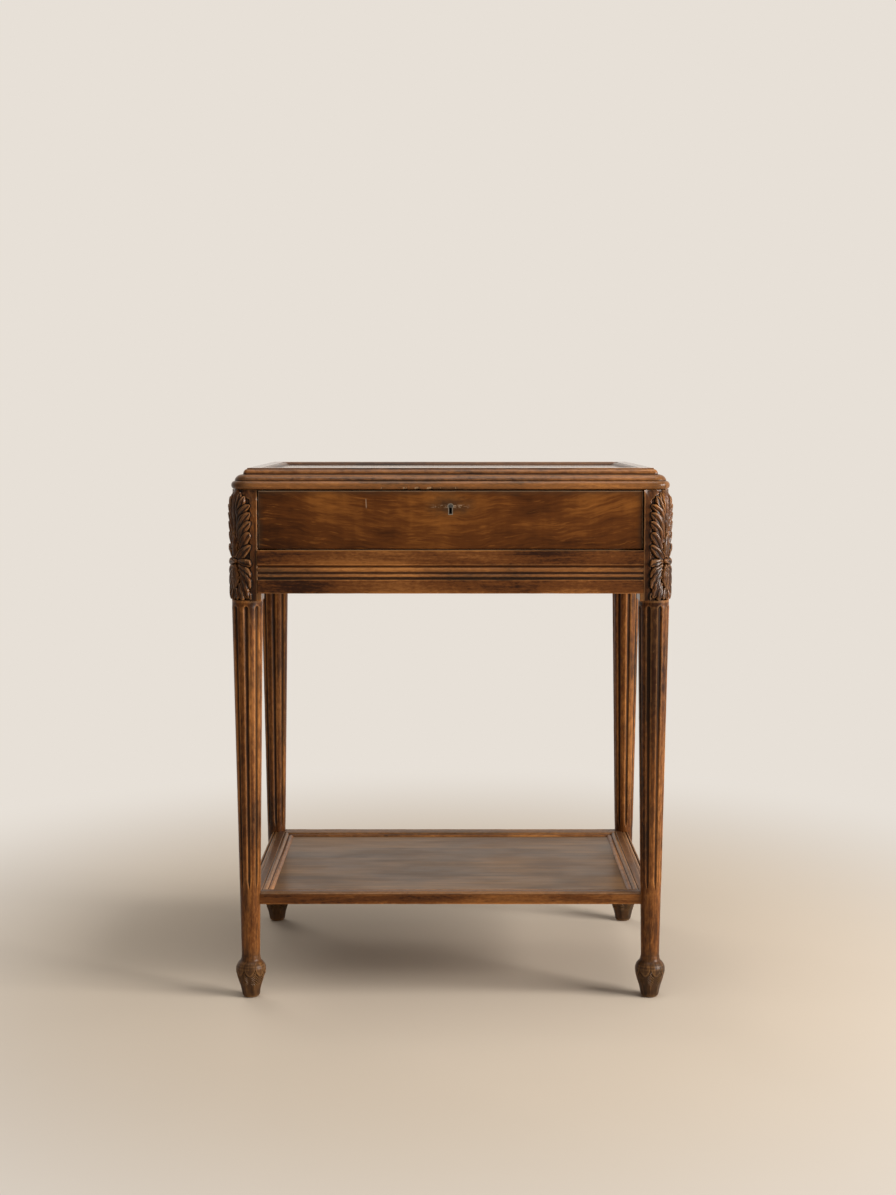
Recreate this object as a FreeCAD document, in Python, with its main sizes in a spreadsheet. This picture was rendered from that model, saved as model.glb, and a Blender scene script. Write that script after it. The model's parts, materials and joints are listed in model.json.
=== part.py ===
import FreeCAD, Part
import os
import re
import Sketcher

# A dressing table on four turned and fluted legs with carved corners: a shallow drawer behind
# a lipped front, a moulded belt rail, a low framed shelf, and a framed lid that lifts on two
# butt hinges and carries a mirror. Lengths are in millimetres. X runs to the right, Y to the
# back and Z up, and the origin is on the floor under the middle of the table.

SIZES = {
    # Legs and case
    "leg_x": 283.5,
    "leg_y": 205.0,
    "case_top": 720.1,
    "block_half": 21.5,
    "block_bottom": 566.5,
    "corner_inset": 7.0,
    "carve_proud": 4.0,
    "boss_r": 6.5,
    "boss_z": 623.0,
    # Turned shaft and foot
    "shaft_top_r": 21.4,
    "neck_r": 12.9,
    "neck_z": 60.0,
    "foot_r": 20.3,
    "foot_belly_z": 40.0,
    "foot_low_r": 13.0,
    "foot_low_z": 9.0,
    "foot_tip_r": 8.5,
    "foot_cut_r": 2.6,
    "flute_count": 8,
    "flute_bottom_z": 157.0,
    "flute_top_z": 559.0,
    "flute_r": 3.4,
    "flute_low_r": 2.2,
    "flute_end": 9.0,
    # Front rail and aprons
    "belt_bottom": 577.0,
    "belt_top": 637.0,
    "rail_proud": 1.5,
    "bead_depth": 3.0,
    "field_back": 3.0,
    "apron_thick": 22.0,
    "rebate_wide": 5.0,
    "rebate_deep": 23.0,
    "tenon_thick": 9.0,
    "tenon_long": 17.0,
    "tenon_set": 3.0,
    "tenon_shoulder": 5.0,
    "tenon_play": 0.15,
    # Lid frame and panel
    "lid_gap": 0.9,
    "lid_thick": 29.0,
    "lid_half_x": 304.5,
    "lid_half_y": 226.0,
    "lid_edge": 22.5,
    "lid_bar": 50.0,
    "lid_bead": 11.0,
    "panel_drop": 5.0,
    "panel_thick": 8.0,
    "panel_tongue": 6.0,
    "panel_play": 0.5,
    # Mirror under the lid
    "mirror_thick": 4.0,
    "mirror_play": 0.5,
    "mirror_bead": 8.0,
    # Low shelf
    "shelf_bottom": 134.2,
    "shelf_thick": 16.0,
    "shelf_over": 5.0,
    "shelf_bar": 35.0,
    "shelf_panel_thick": 5.0,
    "shelf_tongue": 6.0,
    "notch_play": 0.15,
    "dowel_r": 4.0,
    "dowel_in_leg": 8.0,
    "dowel_in_shelf": 16.0,
    "dowel_play": 0.1,
    # Drawer
    "front_side_gap": 1.2,
    "front_low_gap": 1.5,
    "front_top_gap": 1.1,
    "front_arris": 1.2,
    "stop_gap": 0.2,
    "slide_play": 0.3,
    "side_play": 0.7,
    "side_thick": 9.0,
    "side_low": 10.0,
    "drawer_back_y": 178.0,
    "drawer_back_thick": 8.0,
    "back_low": 14.0,
    "tail_long": 14.0,
    "tail_play": 0.05,
    "bottom_up": 6.0,
    "bottom_thick": 5.0,
    "bottom_groove": 4.0,
    "bottom_play": 0.2,
    # Runners, guides and kickers
    "runner_in": 19.0,
    "runner_thick": 16.0,
    "guide_high": 24.0,
    "kicker_thick": 8.0,
    "kicker_in": 15.0,
    # Lock, bolt and keyhole
    "lock_half": 28.0,
    "lock_high": 42.0,
    "lock_deep": 11.0,
    "plate_thick": 1.6,
    "plate_over": 8.0,
    "bolt_half": 8.0,
    "bolt_thick": 4.0,
    "bolt_long": 24.0,
    "bolt_play": 0.3,
    "bolt_back": 5.0,
    "bolt_throw": 7.0,
    "keyhole_z": 697.5,
    "keyhole_r": 3.1,
    "keyhole_drop": 10.5,
    "keyslot_half": 2.0,
    "liner_thick": 1.2,
    "liner_deep": 4.0,
    "screw_r": 1.6,
    "screw_head_r": 3.0,
    "screw_long": 8.0,
    # Hinges
    "hinge_x": 170.0,
    "hinge_half": 30.0,
    "hinge_out": 1.8,
    "leaf_thick": 1.5,
    "leaf_wide": 20.0,
    "barrel_r": 2.6,
    "pin_r": 1.4,
    "pin_play": 0.06,
    "knuckle_gap": 0.3,
    # Every cutter reaches this far past what it cuts
    "overrun": 1.0,
}

# Outlines, as shares of the sizes that they follow. Each point has its place and, last, how far
# the edge that leaves it swells out of the wood, as a share of that edge's own length.
LEAF_SHARES = (
    (0.0, 0.15, 0.12), (0.1, 0.85, 0.06), (0.315, 0.4, 0.0), (0.325, 0.0, 0.0), (0.43, 0.0, 0.0),
    (0.44, 0.3, 0.1), (0.58, 0.25, 0.0), (0.6, 0.5, 0.04), (0.88, 1.0, 0.14), (1.0, -1.5, 0.0),
)
BELT_SHARES = (
    (0.2, 0.0, 0.0), (0.2, 0.317, 0.0), (0.9, 0.32, 0.0), (0.9, 0.375, 0.4), (0.9, 0.445, 0.0),
    (1.0, 0.45, 0.0), (1.0, 0.49, 0.33), (1.0, 0.607, 0.0), (1.0, 0.62, 0.0), (0.3, 0.655, 0.0),
    (0.0, 0.665, 0.0), (0.0, 1.0, 0.0),
)
LID_EDGE_SHARES = (
    (0.86, 0.0, 0.32), (0.82, 0.385, 0.0), (0.765, 0.4, 0.0), (0.78, 0.45, 0.2), (0.33, 0.67, 0.0),
    (0.25, 0.69, 0.2), (0.02, 0.945, 0.0), (0.0, 1.0, 0.0),
)
LID_BEAD_SHARES = (
    (0.0, 0.0, 0.0), (0.0, 0.22, 0.0), (0.08, 0.22, 0.2), (0.7, 0.72, 0.0), (0.78, 0.72, 0.0),
    (0.8, 0.82, 0.15),
)
SHELF_SHARES = (
    (0.0, 0.0, 0.0), (0.0, 0.9, 0.25), (0.03, 0.97, 0.0), (0.06, 0.97, 0.0), (0.075, 0.84, 0.0),
    (0.09, 0.84, 0.3), (0.255, 0.86, 0.0), (0.27, 0.98, 0.0), (0.56, 0.98, 0.0), (0.565, 0.9, 0.2),
    (0.77, 0.86, 0.0), (0.785, 0.78, 0.2),
)
SHELF_PANEL_SHARE = 0.68
TAIL_ROOT_SHARE = 0.09
TAIL_TIP_SHARE = 0.125
TAIL_COUNT = 3
QUARTER_BULGE_SHARE = 0.20711
TIP_BULGE_SHARE = 0.15
CUP_BULGE_SHARE = 0.08
BELLY_BULGE_SHARE = 0.12
NECK_BULGE_SHARE = 0.16
FLUTE_LOW_BULGE_SHARE = 0.1
FLUTE_HIGH_BULGE_SHARE = 0.15
FOOT_CUT_BULGE_SHARE = 0.05
MIRROR_BEAD_BULGE_SHARE = 0.2
BOSS_SUNK_SHARE = 0.4
FULL_TURN = 360
HALF_TURN = 180
QUARTER_TURN = 90
EIGHTH_TURN = 45

doc = FreeCAD.newDocument("dressing_table")
sheet = doc.addObject("Spreadsheet::Sheet", "Sizes")
for row, (size_name, size_value) in enumerate(SIZES.items(), start=1):
    sheet.set(f"A{row}", size_name)
    sheet.set(f"B{row}", str(size_value))
    sheet.setAlias(f"B{row}", size_name)
doc.recompute()

nodes = {}


def bound(text):
    """The same sum of sizes, with each name pointing at its cell in the sheet."""
    return re.sub(r"[a-z][a-z_]*", lambda word: word.group(0) if word.group(0) in ("sqrt", "pow")
                  else "Sizes." + word.group(0), text)


def worth(text):
    """What a sum of sizes comes to."""
    return float(sheet.evalExpression(bound(text)))


def tie(thing, prop, text):
    """Bind a property to a sum of sizes."""
    thing.setExpression(prop, bound(text))


def keep(name, thing):
    """Give a finished piece its name, which is also its file's."""
    thing.Label = name
    nodes[name] = thing
    return thing


def span(side, near, far):
    """A stretch away from the middle, on the right or back (1) or on the left or front (-1)."""
    if side > 0:
        return (near, far)
    return (f"-({far})", f"-({near})")


def board(name, across, along, up):
    """A board between its low and high ends in X, Y and Z."""
    piece = doc.addObject("Part::Box", name)
    for size, axis, (low, high) in zip(("Length", "Width", "Height"), "xyz", (across, along, up)):
        tie(piece, size, f"({high}) - ({low})")
        tie(piece, "Placement.Base." + axis, low)
    return piece


def rod(name, radius, length, place, axis=(0, 0, 1), low_radius=None):
    """A round rod, or a cone where the two radii differ, from its place along an axis."""
    if low_radius is None:
        piece = doc.addObject("Part::Cylinder", name)
        tie(piece, "Radius", radius)
    else:
        piece = doc.addObject("Part::Cone", name)
        tie(piece, "Radius1", low_radius)
        tie(piece, "Radius2", radius)
    tie(piece, "Height", length)
    piece.Placement.Rotation = FreeCAD.Rotation(FreeCAD.Vector(0, 0, 1), FreeCAD.Vector(*axis))
    for letter, text in zip("xyz", place):
        tie(piece, "Placement.Base." + letter, text)
    return piece


def joined(name, pieces):
    """Several solids as one."""
    if len(pieces) == 1:
        return pieces[0]
    whole = doc.addObject("Part::MultiFuse", name)
    whole.Shapes = pieces
    return whole


def cut(name, base, cutters):
    """A solid less its cutters, which have to take something away."""
    whole = doc.addObject("Part::Cut", name)
    whole.Base = base
    whole.Tool = joined(name + "_cutters", cutters)
    doc.recompute()
    if whole.Shape.Volume >= base.Shape.Volume:
        raise ValueError(f"{name}: its cutters miss it")
    return whole


def group(name, pieces):
    """Like pieces that share one node and stay separate solids."""
    whole = doc.addObject("Part::Compound", name)
    whole.Links = pieces
    return whole


def sketch_in(body, role, name, offset="0"):
    """A sketch on one of a body's own planes, or set off from it along its normal."""
    sketch = body.newObject("Sketcher::SketchObject", name)
    plane = [feature for feature in body.Origin.OriginFeatures if feature.Role == role][0]
    sketch.AttachmentSupport = [(plane, "")]
    sketch.MapMode = "FlatFace"
    if offset != "0":
        tie(sketch, "AttachmentOffset.Base.z", offset)
    return sketch


def hold(sketch, edge, end, corner):
    """Tie one end of an edge to its place."""
    for kind, text, axis in (("DistanceX", corner[0], -2), ("DistanceY", corner[1], -1)):
        if text == "0":
            sketch.addConstraint(Sketcher.Constraint("PointOnObject", edge, end, axis))
            continue
        number = sketch.addConstraint(Sketcher.Constraint(kind, edge, end, worth(text)))
        tie(sketch, f"Constraints[{number}]", text)


def outline(sketch, corners):
    """A closed outline. A corner is (x, y) or (x, y, bulge), with the bulge of the edge that
    leaves it, to the left of the way it runs, as a share of its length."""
    places = [FreeCAD.Vector(worth(corner[0]), worth(corner[1]), 0) for corner in corners]
    edges = []
    for number, corner in enumerate(corners):
        start = places[number]
        after = (number + 1) % len(corners)
        end = places[after]
        bulge = corner[2] if len(corner) > 2 else 0
        if not bulge:
            edges.append((sketch.addGeometry(Part.LineSegment(start, end), False), 1, 2))
            continue
        chord = end - start
        left = FreeCAD.Vector(-chord.y, chord.x, 0)
        middle = (start + end) * 0.5 + left * bulge
        edge = sketch.addGeometry(Part.Arc(start, middle, end), False)
        edges.append((edge, 2, 1) if bulge > 0 else (edge, 1, 2))
        size = abs(bulge)
        run = f"({corners[after][0]}) - ({corner[0]})"
        rise = f"({corners[after][1]}) - ({corner[1]})"
        share = (1 / (4 * size) + size) / 2
        text = f"{share:.6f} * sqrt(pow({run}; 2) + pow({rise}; 2))"
        number = sketch.addConstraint(Sketcher.Constraint("Radius", edge, worth(text)))
        tie(sketch, f"Constraints[{number}]", text)
    for number, (edge, start, end) in enumerate(edges):
        hold(sketch, edge, start, corners[number])
        after_edge, after_start, _ = edges[(number + 1) % len(edges)]
        sketch.addConstraint(Sketcher.Constraint("Coincident", edge, end, after_edge, after_start))
    return sketch


def axis_line(sketch, low, high):
    """A construction line that a turned feature turns about."""
    ends = [FreeCAD.Vector(worth(place[0]), worth(place[1]), 0) for place in (low, high)]
    line = sketch.addGeometry(Part.LineSegment(*ends), True)
    hold(sketch, line, 1, low)
    hold(sketch, line, 2, high)


def add(body, kind, sketch, name, **settings):
    """A sketched feature: a pad, a pocket, a revolution or a groove."""
    feature = body.newObject("PartDesign::" + kind, name)
    feature.Profile = sketch
    for prop, value in settings.items():
        if isinstance(value, str) and prop in ("Length", "Length2"):
            tie(feature, prop, value)
        else:
            setattr(feature, prop, value)
    body.Tip = feature
    return feature


def turn(body, angle):
    """Turn a body about the table's upright middle line."""
    body.Placement = FreeCAD.Placement(FreeCAD.Vector(0, 0, 0),
                                       FreeCAD.Rotation(FreeCAD.Vector(0, 0, 1), angle))


def around(body, feature, name):
    """Repeat a feature round its body's upright axis, as many times as there are flutes."""
    pattern = body.newObject("PartDesign::PolarPattern", name)
    pattern.Originals = [feature]
    upright = [part for part in body.Origin.OriginFeatures if part.Role == "Z_Axis"][0]
    pattern.Axis = (upright, [""])
    pattern.Angle = FULL_TURN
    tie(pattern, "Occurrences", "flute_count")
    body.Tip = pattern
    return pattern


# Shared places, as sums of sizes
DIAGONAL = "sqrt(1 / 2)"
CORNER_R = "(block_half + corner_inset)"
BLOCK_IN_X = "(leg_x - block_half)"
BLOCK_IN_Y = "(leg_y - block_half)"
BLOCK_OUT_X = "(leg_x + block_half)"
BLOCK_OUT_Y = "(leg_y + block_half)"
REBATE_X = f"({BLOCK_IN_X} + rebate_wide)"
REBATE_Y = f"({BLOCK_OUT_Y} - rebate_deep)"
APRON_IN_X = f"({BLOCK_OUT_X} - field_back - apron_thick)"
APRON_IN_Y = f"({BLOCK_OUT_Y} - field_back - apron_thick)"
LID_LOW = "(case_top + lid_gap)"
LID_TOP = "(case_top + lid_gap + lid_thick)"
SLOPE = "((shaft_top_r - neck_r) / (block_bottom - neck_z))"


def shaft_radius(height):
    """The plain shaft's radius at a height, on its even taper."""
    return f"(neck_r + ({height} - neck_z) * {SLOPE})"


# Legs


def turned_shaft(name):
    """The tapering shaft and its foot, with flutes and gadroon cuts spaced round it."""
    body = doc.addObject("PartDesign::Body", name + "_shaft")
    profile = sketch_in(body, "XZ_Plane", name + "_profile")
    outline(profile, [
        ("0", "0"), ("foot_tip_r", "0", -TIP_BULGE_SHARE),
        ("foot_low_r", "foot_low_z", -CUP_BULGE_SHARE), ("foot_r", "foot_belly_z", -BELLY_BULGE_SHARE),
        ("(foot_r + neck_r) / 2", "(foot_belly_z + neck_z) / 2", NECK_BULGE_SHARE),
        ("neck_r", "neck_z"), ("shaft_top_r", "block_bottom"), ("0", "block_bottom"),
    ])
    axis_line(profile, ("0", "0"), ("0", "block_bottom"))
    add(body, "Revolution", profile, name + "_turning", ReferenceAxis=(profile, ["Axis0"]),
        Angle=FULL_TURN)
    doc.recompute()

    low = "flute_bottom_z"
    high = "flute_top_z"
    flute = sketch_in(body, "XZ_Plane", name + "_flute_line")
    outline(flute, [
        (shaft_radius(low), low, -FLUTE_LOW_BULGE_SHARE),
        (f"{shaft_radius(low + ' + flute_end')} + flute_low_r", f"{low} + flute_end"),
        (f"{shaft_radius(high + ' - flute_end')} + flute_r", f"{high} - flute_end",
         -FLUTE_HIGH_BULGE_SHARE),
        (shaft_radius(high), high),
    ])
    axis_line(flute, (shaft_radius(low), low), (shaft_radius(high), high))
    groove = add(body, "Groove", flute, name + "_flute", ReferenceAxis=(flute, ["Axis0"]),
                 Angle=FULL_TURN)
    around(body, groove, name + "_flutes")
    doc.recompute()

    cup = sketch_in(body, "XZ_Plane", name + "_foot_line")
    cup_low = ("foot_low_r + foot_cut_r / 2", "foot_low_z")
    cup_high = ("foot_r + foot_cut_r / 2", "foot_belly_z")
    outline(cup, [
        (*cup_low, -FOOT_CUT_BULGE_SHARE),
        ("(foot_low_r + foot_r) / 2 + foot_cut_r * 3 / 2", "(foot_low_z + foot_belly_z) / 2",
         -FOOT_CUT_BULGE_SHARE),
        cup_high,
    ])
    axis_line(cup, cup_low, cup_high)
    cup_cut = add(body, "Groove", cup, name + "_foot_cut", ReferenceAxis=(cup, ["Axis0"]),
                  Angle=FULL_TURN)
    around(body, cup_cut, name + "_foot_cuts")
    return body


def carved_block(name):
    """The square block with its outer corner rounded and the carved leaves standing proud."""
    body = doc.addObject("PartDesign::Body", name + "_block")
    plan = sketch_in(body, "XY_Plane", name + "_plan", "block_bottom")
    outline(plan, [
        ("-block_half", "-block_half"), ("-corner_inset", "-block_half", -QUARTER_BULGE_SHARE),
        ("block_half", "corner_inset"), ("block_half", "block_half"), ("-block_half", "block_half"),
    ])
    add(body, "Pad", plan, name + "_square", Length="case_top - block_bottom")
    leaves = sketch_in(body, "XZ_Plane", name + "_leaf_line", "-corner_inset")
    points = [("-corner_inset", "block_bottom")]
    for up, proud, bulge in LEAF_SHARES:
        points.append((f"block_half + carve_proud * {proud}",
                       f"block_bottom + (case_top - block_bottom) * {up}", -bulge))
    points.append(("-corner_inset", "case_top"))
    outline(leaves, points)
    axis_line(leaves, ("-corner_inset", "block_bottom"), ("-corner_inset", "case_top"))
    add(body, "Revolution", leaves, name + "_leaves", ReferenceAxis=(leaves, ["Axis0"]),
        Angle=QUARTER_TURN, Reversed=True)
    return body


def mortise_wide(back):
    """Across a mortise, from the back face of the rail whose tenon it takes."""
    return (f"{back} + tenon_set - tenon_play", f"{back} + tenon_set + tenon_thick + tenon_play")


def mortise_deep(shoulder):
    """Into the leg, from outside the shoulder to just past the tenon's end."""
    return (f"{shoulder} - overrun", f"{shoulder} + tenon_long + tenon_play")


def mortise_tall(top):
    """Up a mortise, for a rail with this top."""
    return ("belt_bottom + tenon_shoulder - tenon_play", f"{top} - tenon_shoulder + tenon_play")


def leg(name, side_x, side_y, angle, flute_angle):
    """One leg: shaft and carved block in one piece, with the mortises of its rails."""
    place = (f"{side_x} * leg_x", f"{side_y} * leg_y", "0")
    shaft = turned_shaft(name)
    block = carved_block(name)
    boss = doc.addObject("Part::Sphere", name + "_boss")
    tie(boss, "Radius", "boss_r")
    for part, spin in ((shaft, flute_angle), (block, angle), (boss, 0)):
        part.Placement.Rotation = FreeCAD.Rotation(FreeCAD.Vector(0, 0, 1), spin)
    for part in (shaft, block):
        for letter, text in zip("xyz", place):
            tie(part, "Placement.Base." + letter, text)
    out = f"({CORNER_R} * {DIAGONAL} - corner_inset - boss_r * {BOSS_SUNK_SHARE})"
    tie(boss, "Placement.Base.x", f"{side_x} * (leg_x + {out})")
    tie(boss, "Placement.Base.y", f"{side_y} * (leg_y + {out})")
    tie(boss, "Placement.Base.z", "boss_z")
    whole = joined(name + "_whole", [shaft, block, boss])

    cutters = [board(name + "_side_mortise", span(side_x, *mortise_wide(APRON_IN_X)),
                     span(side_y, *mortise_deep(BLOCK_IN_Y)), mortise_tall("case_top"))]
    if side_y < 0:
        cutters.append(board(name + "_rebate", span(side_x, f"{BLOCK_IN_X} - overrun", REBATE_X),
                             span(-1, REBATE_Y, f"{BLOCK_OUT_Y} + overrun + carve_proud"),
                             ("belt_bottom", "case_top + overrun")))
        cutters.append(board(name + "_front_mortise", span(side_x, *mortise_deep(REBATE_X)),
                             span(-1, *mortise_wide(REBATE_Y)), mortise_tall("belt_top")))
    else:
        cutters.append(board(name + "_back_mortise", span(side_x, *mortise_deep(BLOCK_IN_X)),
                             span(1, *mortise_wide(APRON_IN_Y)), mortise_tall("case_top")))
    cutters.append(dowel(name + "_dowel_hole", side_x, side_y,
                         "dowel_r + dowel_play", "dowel_play", "shelf_bar"))
    return keep(name, cut(name, whole, cutters))


# Shelf

SHELF_MID = "(shelf_bottom + shelf_thick / 2)"
LEG_AT_SHELF = shaft_radius(SHELF_MID)


def dowel(name, side_x, side_y, radius, extra_in, extra_out):
    """A dowel on the diagonal, from inside the leg out into the shelf's corner."""
    start = f"({LEG_AT_SHELF} - dowel_in_leg - {extra_in})"
    place = (f"{side_x} * (leg_x - {start} * {DIAGONAL})",
             f"{side_y} * (leg_y - {start} * {DIAGONAL})", SHELF_MID)
    return rod(name, radius, f"dowel_in_leg + dowel_in_shelf + {extra_in} + {extra_out}",
               place, (-side_x, -side_y, 0))


def mitred_rail(name, angle, reach, depth, bar, corners):
    """A moulded bar with its ends mitred, made as a front bar and turned into its place."""
    body = doc.addObject("PartDesign::Body", name)
    section = sketch_in(body, "YZ_Plane", name + "_section")
    outline(section, corners)
    add(body, "Pad", section, name + "_bar", Length=f"2 * {reach}", SideType="Symmetric")
    mitre(body, name, reach, depth, bar)
    turn(body, angle)
    return body


def mitre(body, name, reach, depth, bar):
    """Cut both ends of a front bar along the diagonals of its frame."""
    for side, end in ((1, "right"), (-1, "left")):
        ends = sketch_in(body, "XY_Plane", f"{name}_{end}_mitre")
        outline(ends, [
            (f"{side} * ({reach} + overrun)", f"-({depth} + overrun)"),
            (f"{side} * ({reach} + overrun)", f"-({depth} - {bar} - overrun)"),
            (f"{side} * ({reach} - {bar} - overrun)", f"-({depth} - {bar} - overrun)"),
        ])
        add(body, "Pocket", ends, f"{name}_{end}_end", Type="ThroughAll", SideType="Symmetric")
    doc.recompute()


def shelf_section(depth):
    """The shelf bar's section: rounded edge bead, flat, two inner beads and the panel's groove."""
    inner = f"-({depth} - shelf_bar)"
    panel_top = f"shelf_bottom + shelf_thick * {SHELF_PANEL_SHARE}"
    points = [(inner, "shelf_bottom")]
    for along, up, bulge in SHELF_SHARES:
        points.append((f"-({depth} - shelf_bar * {along})", f"shelf_bottom + shelf_thick * {up}", bulge))
    groove = f"{inner} - shelf_tongue - panel_play"
    points += [(inner, panel_top), (groove, panel_top), (groove, f"{panel_top} - shelf_panel_thick"),
               (inner, f"{panel_top} - shelf_panel_thick")]
    return points


def shelf():
    """Four mitred bars notched round the legs, a loose panel in their grooves, and dowels."""
    long_reach = "(leg_x + shelf_over)"
    deep_reach = "(leg_y + shelf_over)"
    rails = (("front", 0, long_reach, deep_reach, ((-1, -1), (1, -1))),
             ("right", QUARTER_TURN, deep_reach, long_reach, ((1, -1), (1, 1))),
             ("back", HALF_TURN, long_reach, deep_reach, ((1, 1), (-1, 1))),
             ("left", -QUARTER_TURN, deep_reach, long_reach, ((-1, 1), (-1, -1))))
    for side, angle, reach, depth, corners in rails:
        name = f"shelf_{side}_rail"
        bar = mitred_rail(name + "_bar", angle, reach, depth, "shelf_bar", shelf_section(depth))
        cutters = []
        for side_x, side_y in corners:
            low = "(shelf_bottom - overrun)"
            high = "(shelf_bottom + shelf_thick + overrun)"
            cutters.append(rod(f"{name}_notch_{side_x}_{side_y}", f"{shaft_radius(high)} + notch_play",
                               f"{high} - {low}", (f"{side_x} * leg_x", f"{side_y} * leg_y", low),
                               low_radius=f"{shaft_radius(low)} + notch_play"))
            cutters.append(dowel(f"{name}_hole_{side_x}_{side_y}", side_x, side_y,
                                 "dowel_r + dowel_play", "0", "dowel_play"))
        keep(name, cut(name, bar, cutters))
    inner_x = "(leg_x + shelf_over - shelf_bar + shelf_tongue)"
    inner_y = "(leg_y + shelf_over - shelf_bar + shelf_tongue)"
    top = f"shelf_bottom + shelf_thick * {SHELF_PANEL_SHARE}"
    keep("shelf_panel", board("shelf_panel", (f"-{inner_x}", inner_x), (f"-{inner_y}", inner_y),
                              (f"{top} - shelf_panel_thick", top)))
    dowels = [dowel(f"shelf_dowel_{side_x}_{side_y}", side_x, side_y, "dowel_r", "0", "0")
              for side_x in (-1, 1) for side_y in (-1, 1)]
    keep("shelf_dowels", group("shelf_dowels", dowels))


# Front rail and aprons


def belt_rail(name, angle, shoulder, face, back, top, moulded=True):
    """A rail between two legs, with a tenon at each end, made as a front rail and turned."""
    body = doc.addObject("PartDesign::Body", name)
    section = sketch_in(body, "YZ_Plane", name + "_section")
    points = [(f"-({back})", "belt_bottom")]
    if moulded:
        for deep, up, bulge in BELT_SHARES:
            points.append((f"-({face} + rail_proud - bead_depth * {deep})",
                           f"belt_bottom + (belt_top - belt_bottom) * {up}", bulge))
        if top != "belt_top":
            points += [(f"-({face} - field_back)", "belt_top"), (f"-({face} - field_back)", top)]
    else:
        points += [(f"-({face} - field_back)", "belt_bottom"), (f"-({face} - field_back)", top)]
    points.append((f"-({back})", top))
    outline(section, points)
    add(body, "Pad", section, name + "_bar", Length=f"2 * {shoulder}", SideType="Symmetric")
    tenon = sketch_in(body, "YZ_Plane", name + "_tenon")
    near = f"-({back} + tenon_set)"
    far = f"-({back} + tenon_set + tenon_thick)"
    outline(tenon, [
        (far, "belt_bottom + tenon_shoulder"), (near, "belt_bottom + tenon_shoulder"),
        (near, f"{top} - tenon_shoulder"), (far, f"{top} - tenon_shoulder"),
    ])
    add(body, "Pad", tenon, name + "_tenons", Length=f"2 * ({shoulder} + tenon_long)",
        SideType="Symmetric")
    turn(body, angle)
    return body


def case_rails():
    """The moulded front rail, the two side aprons and the plain back apron."""
    keep("front_rail", belt_rail("front_rail", 0, REBATE_X, BLOCK_OUT_Y, REBATE_Y, "belt_top"))
    for name, angle in (("right_apron", QUARTER_TURN), ("left_apron", -QUARTER_TURN)):
        keep(name, belt_rail(name, angle, BLOCK_IN_Y, BLOCK_OUT_X, APRON_IN_X, "case_top"))
    back = belt_rail("back_apron_board", HALF_TURN, BLOCK_IN_X, BLOCK_OUT_Y, APRON_IN_Y, "case_top",
                     moulded=False)
    bed_low = "case_top - leaf_thick"
    keep("back_apron", cut("back_apron", back,
                           leaf_beds("back_apron", bed_low, "case_top + overrun")
                           + screw_holes("back_apron", bed_low, -1)))


def slides():
    """Runners below the drawer's sides, guides beside them and kickers above."""
    between_legs = (f"-({BLOCK_IN_Y} - slide_play)", f"{BLOCK_IN_Y} - slide_play")
    runner_up = ("belt_top - runner_thick", "belt_top")
    for word, side in (("left", -1), ("right", 1)):
        inner = board(f"{word}_runner_strip",
                      span(side, f"{BLOCK_IN_X} - runner_in", f"{BLOCK_IN_X} - slide_play"),
                      (f"-{REBATE_Y}", APRON_IN_Y), runner_up)
        outer = board(f"{word}_runner_wing", span(side, f"{BLOCK_IN_X} - runner_in", APRON_IN_X),
                      between_legs, runner_up)
        keep(f"{word}_runner", joined(f"{word}_runner", [inner, outer]))
        keep(f"{word}_guide", board(f"{word}_guide", span(side, BLOCK_IN_X, APRON_IN_X),
                                    between_legs, ("belt_top", "belt_top + guide_high")))
        keep(f"{word}_kicker", board(f"{word}_kicker",
                                     span(side, f"{BLOCK_IN_X} - kicker_in", APRON_IN_X),
                                     between_legs, ("case_top - kicker_thick", "case_top")))


# Lid


def lid_section(half):
    """The lid bar's section: edge moulding, flat, inner moulding and the panel's groove."""
    centre = f"-({half} - lid_edge)"
    inner = f"-({half} - lid_bar)"
    points = [(inner, LID_LOW)]
    for out, up, bulge in LID_EDGE_SHARES:
        points.append((f"{centre} - lid_edge * {out}", f"{LID_LOW} + lid_thick * {up}", bulge))
    for along, down, bulge in LID_BEAD_SHARES:
        points.append((f"{inner} - lid_bead * (1 - {along})", f"{LID_TOP} - panel_drop * {down}", bulge))
    groove = f"{inner} - panel_tongue - panel_play"
    panel_top = f"{LID_TOP} - panel_drop"
    points += [(inner, panel_top), (groove, panel_top), (groove, f"{panel_top} - panel_thick"),
               (inner, f"{panel_top} - panel_thick")]
    return points


def lid_rail(name, angle, reach, depth):
    """One lid bar: mitred inside, its edge moulding turned round half of each corner."""
    body = doc.addObject("PartDesign::Body", name + "_bar")
    section = sketch_in(body, "YZ_Plane", name + "_section")
    outline(section, lid_section(depth))
    add(body, "Pad", section, name + "_pad", Length=f"2 * ({reach} - lid_edge)", SideType="Symmetric")
    mitre(body, name, reach, depth, "lid_bar")
    centre = f"-({depth} - lid_edge)"
    for side, end in ((1, "right"), (-1, "left")):
        edge = sketch_in(body, "YZ_Plane", f"{name}_{end}_edge", f"{side} * ({reach} - lid_edge)")
        points = [(centre, LID_LOW)]
        for out, up, bulge in LID_EDGE_SHARES:
            points.append((f"{centre} - lid_edge * {out}", f"{LID_LOW} + lid_thick * {up}", bulge))
        outline(edge, points)
        axis_line(edge, (centre, LID_LOW), (centre, LID_TOP))
        add(body, "Revolution", edge, f"{name}_{end}_round", ReferenceAxis=(edge, ["Axis0"]),
            Angle=EIGHTH_TURN, Reversed=side < 0)
    turn(body, angle)
    doc.recompute()
    return body


HINGE_Y = f"({BLOCK_OUT_Y} + hinge_out - leaf_thick / 2)"
HINGE_Z = "(case_top + lid_gap / 2)"
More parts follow.
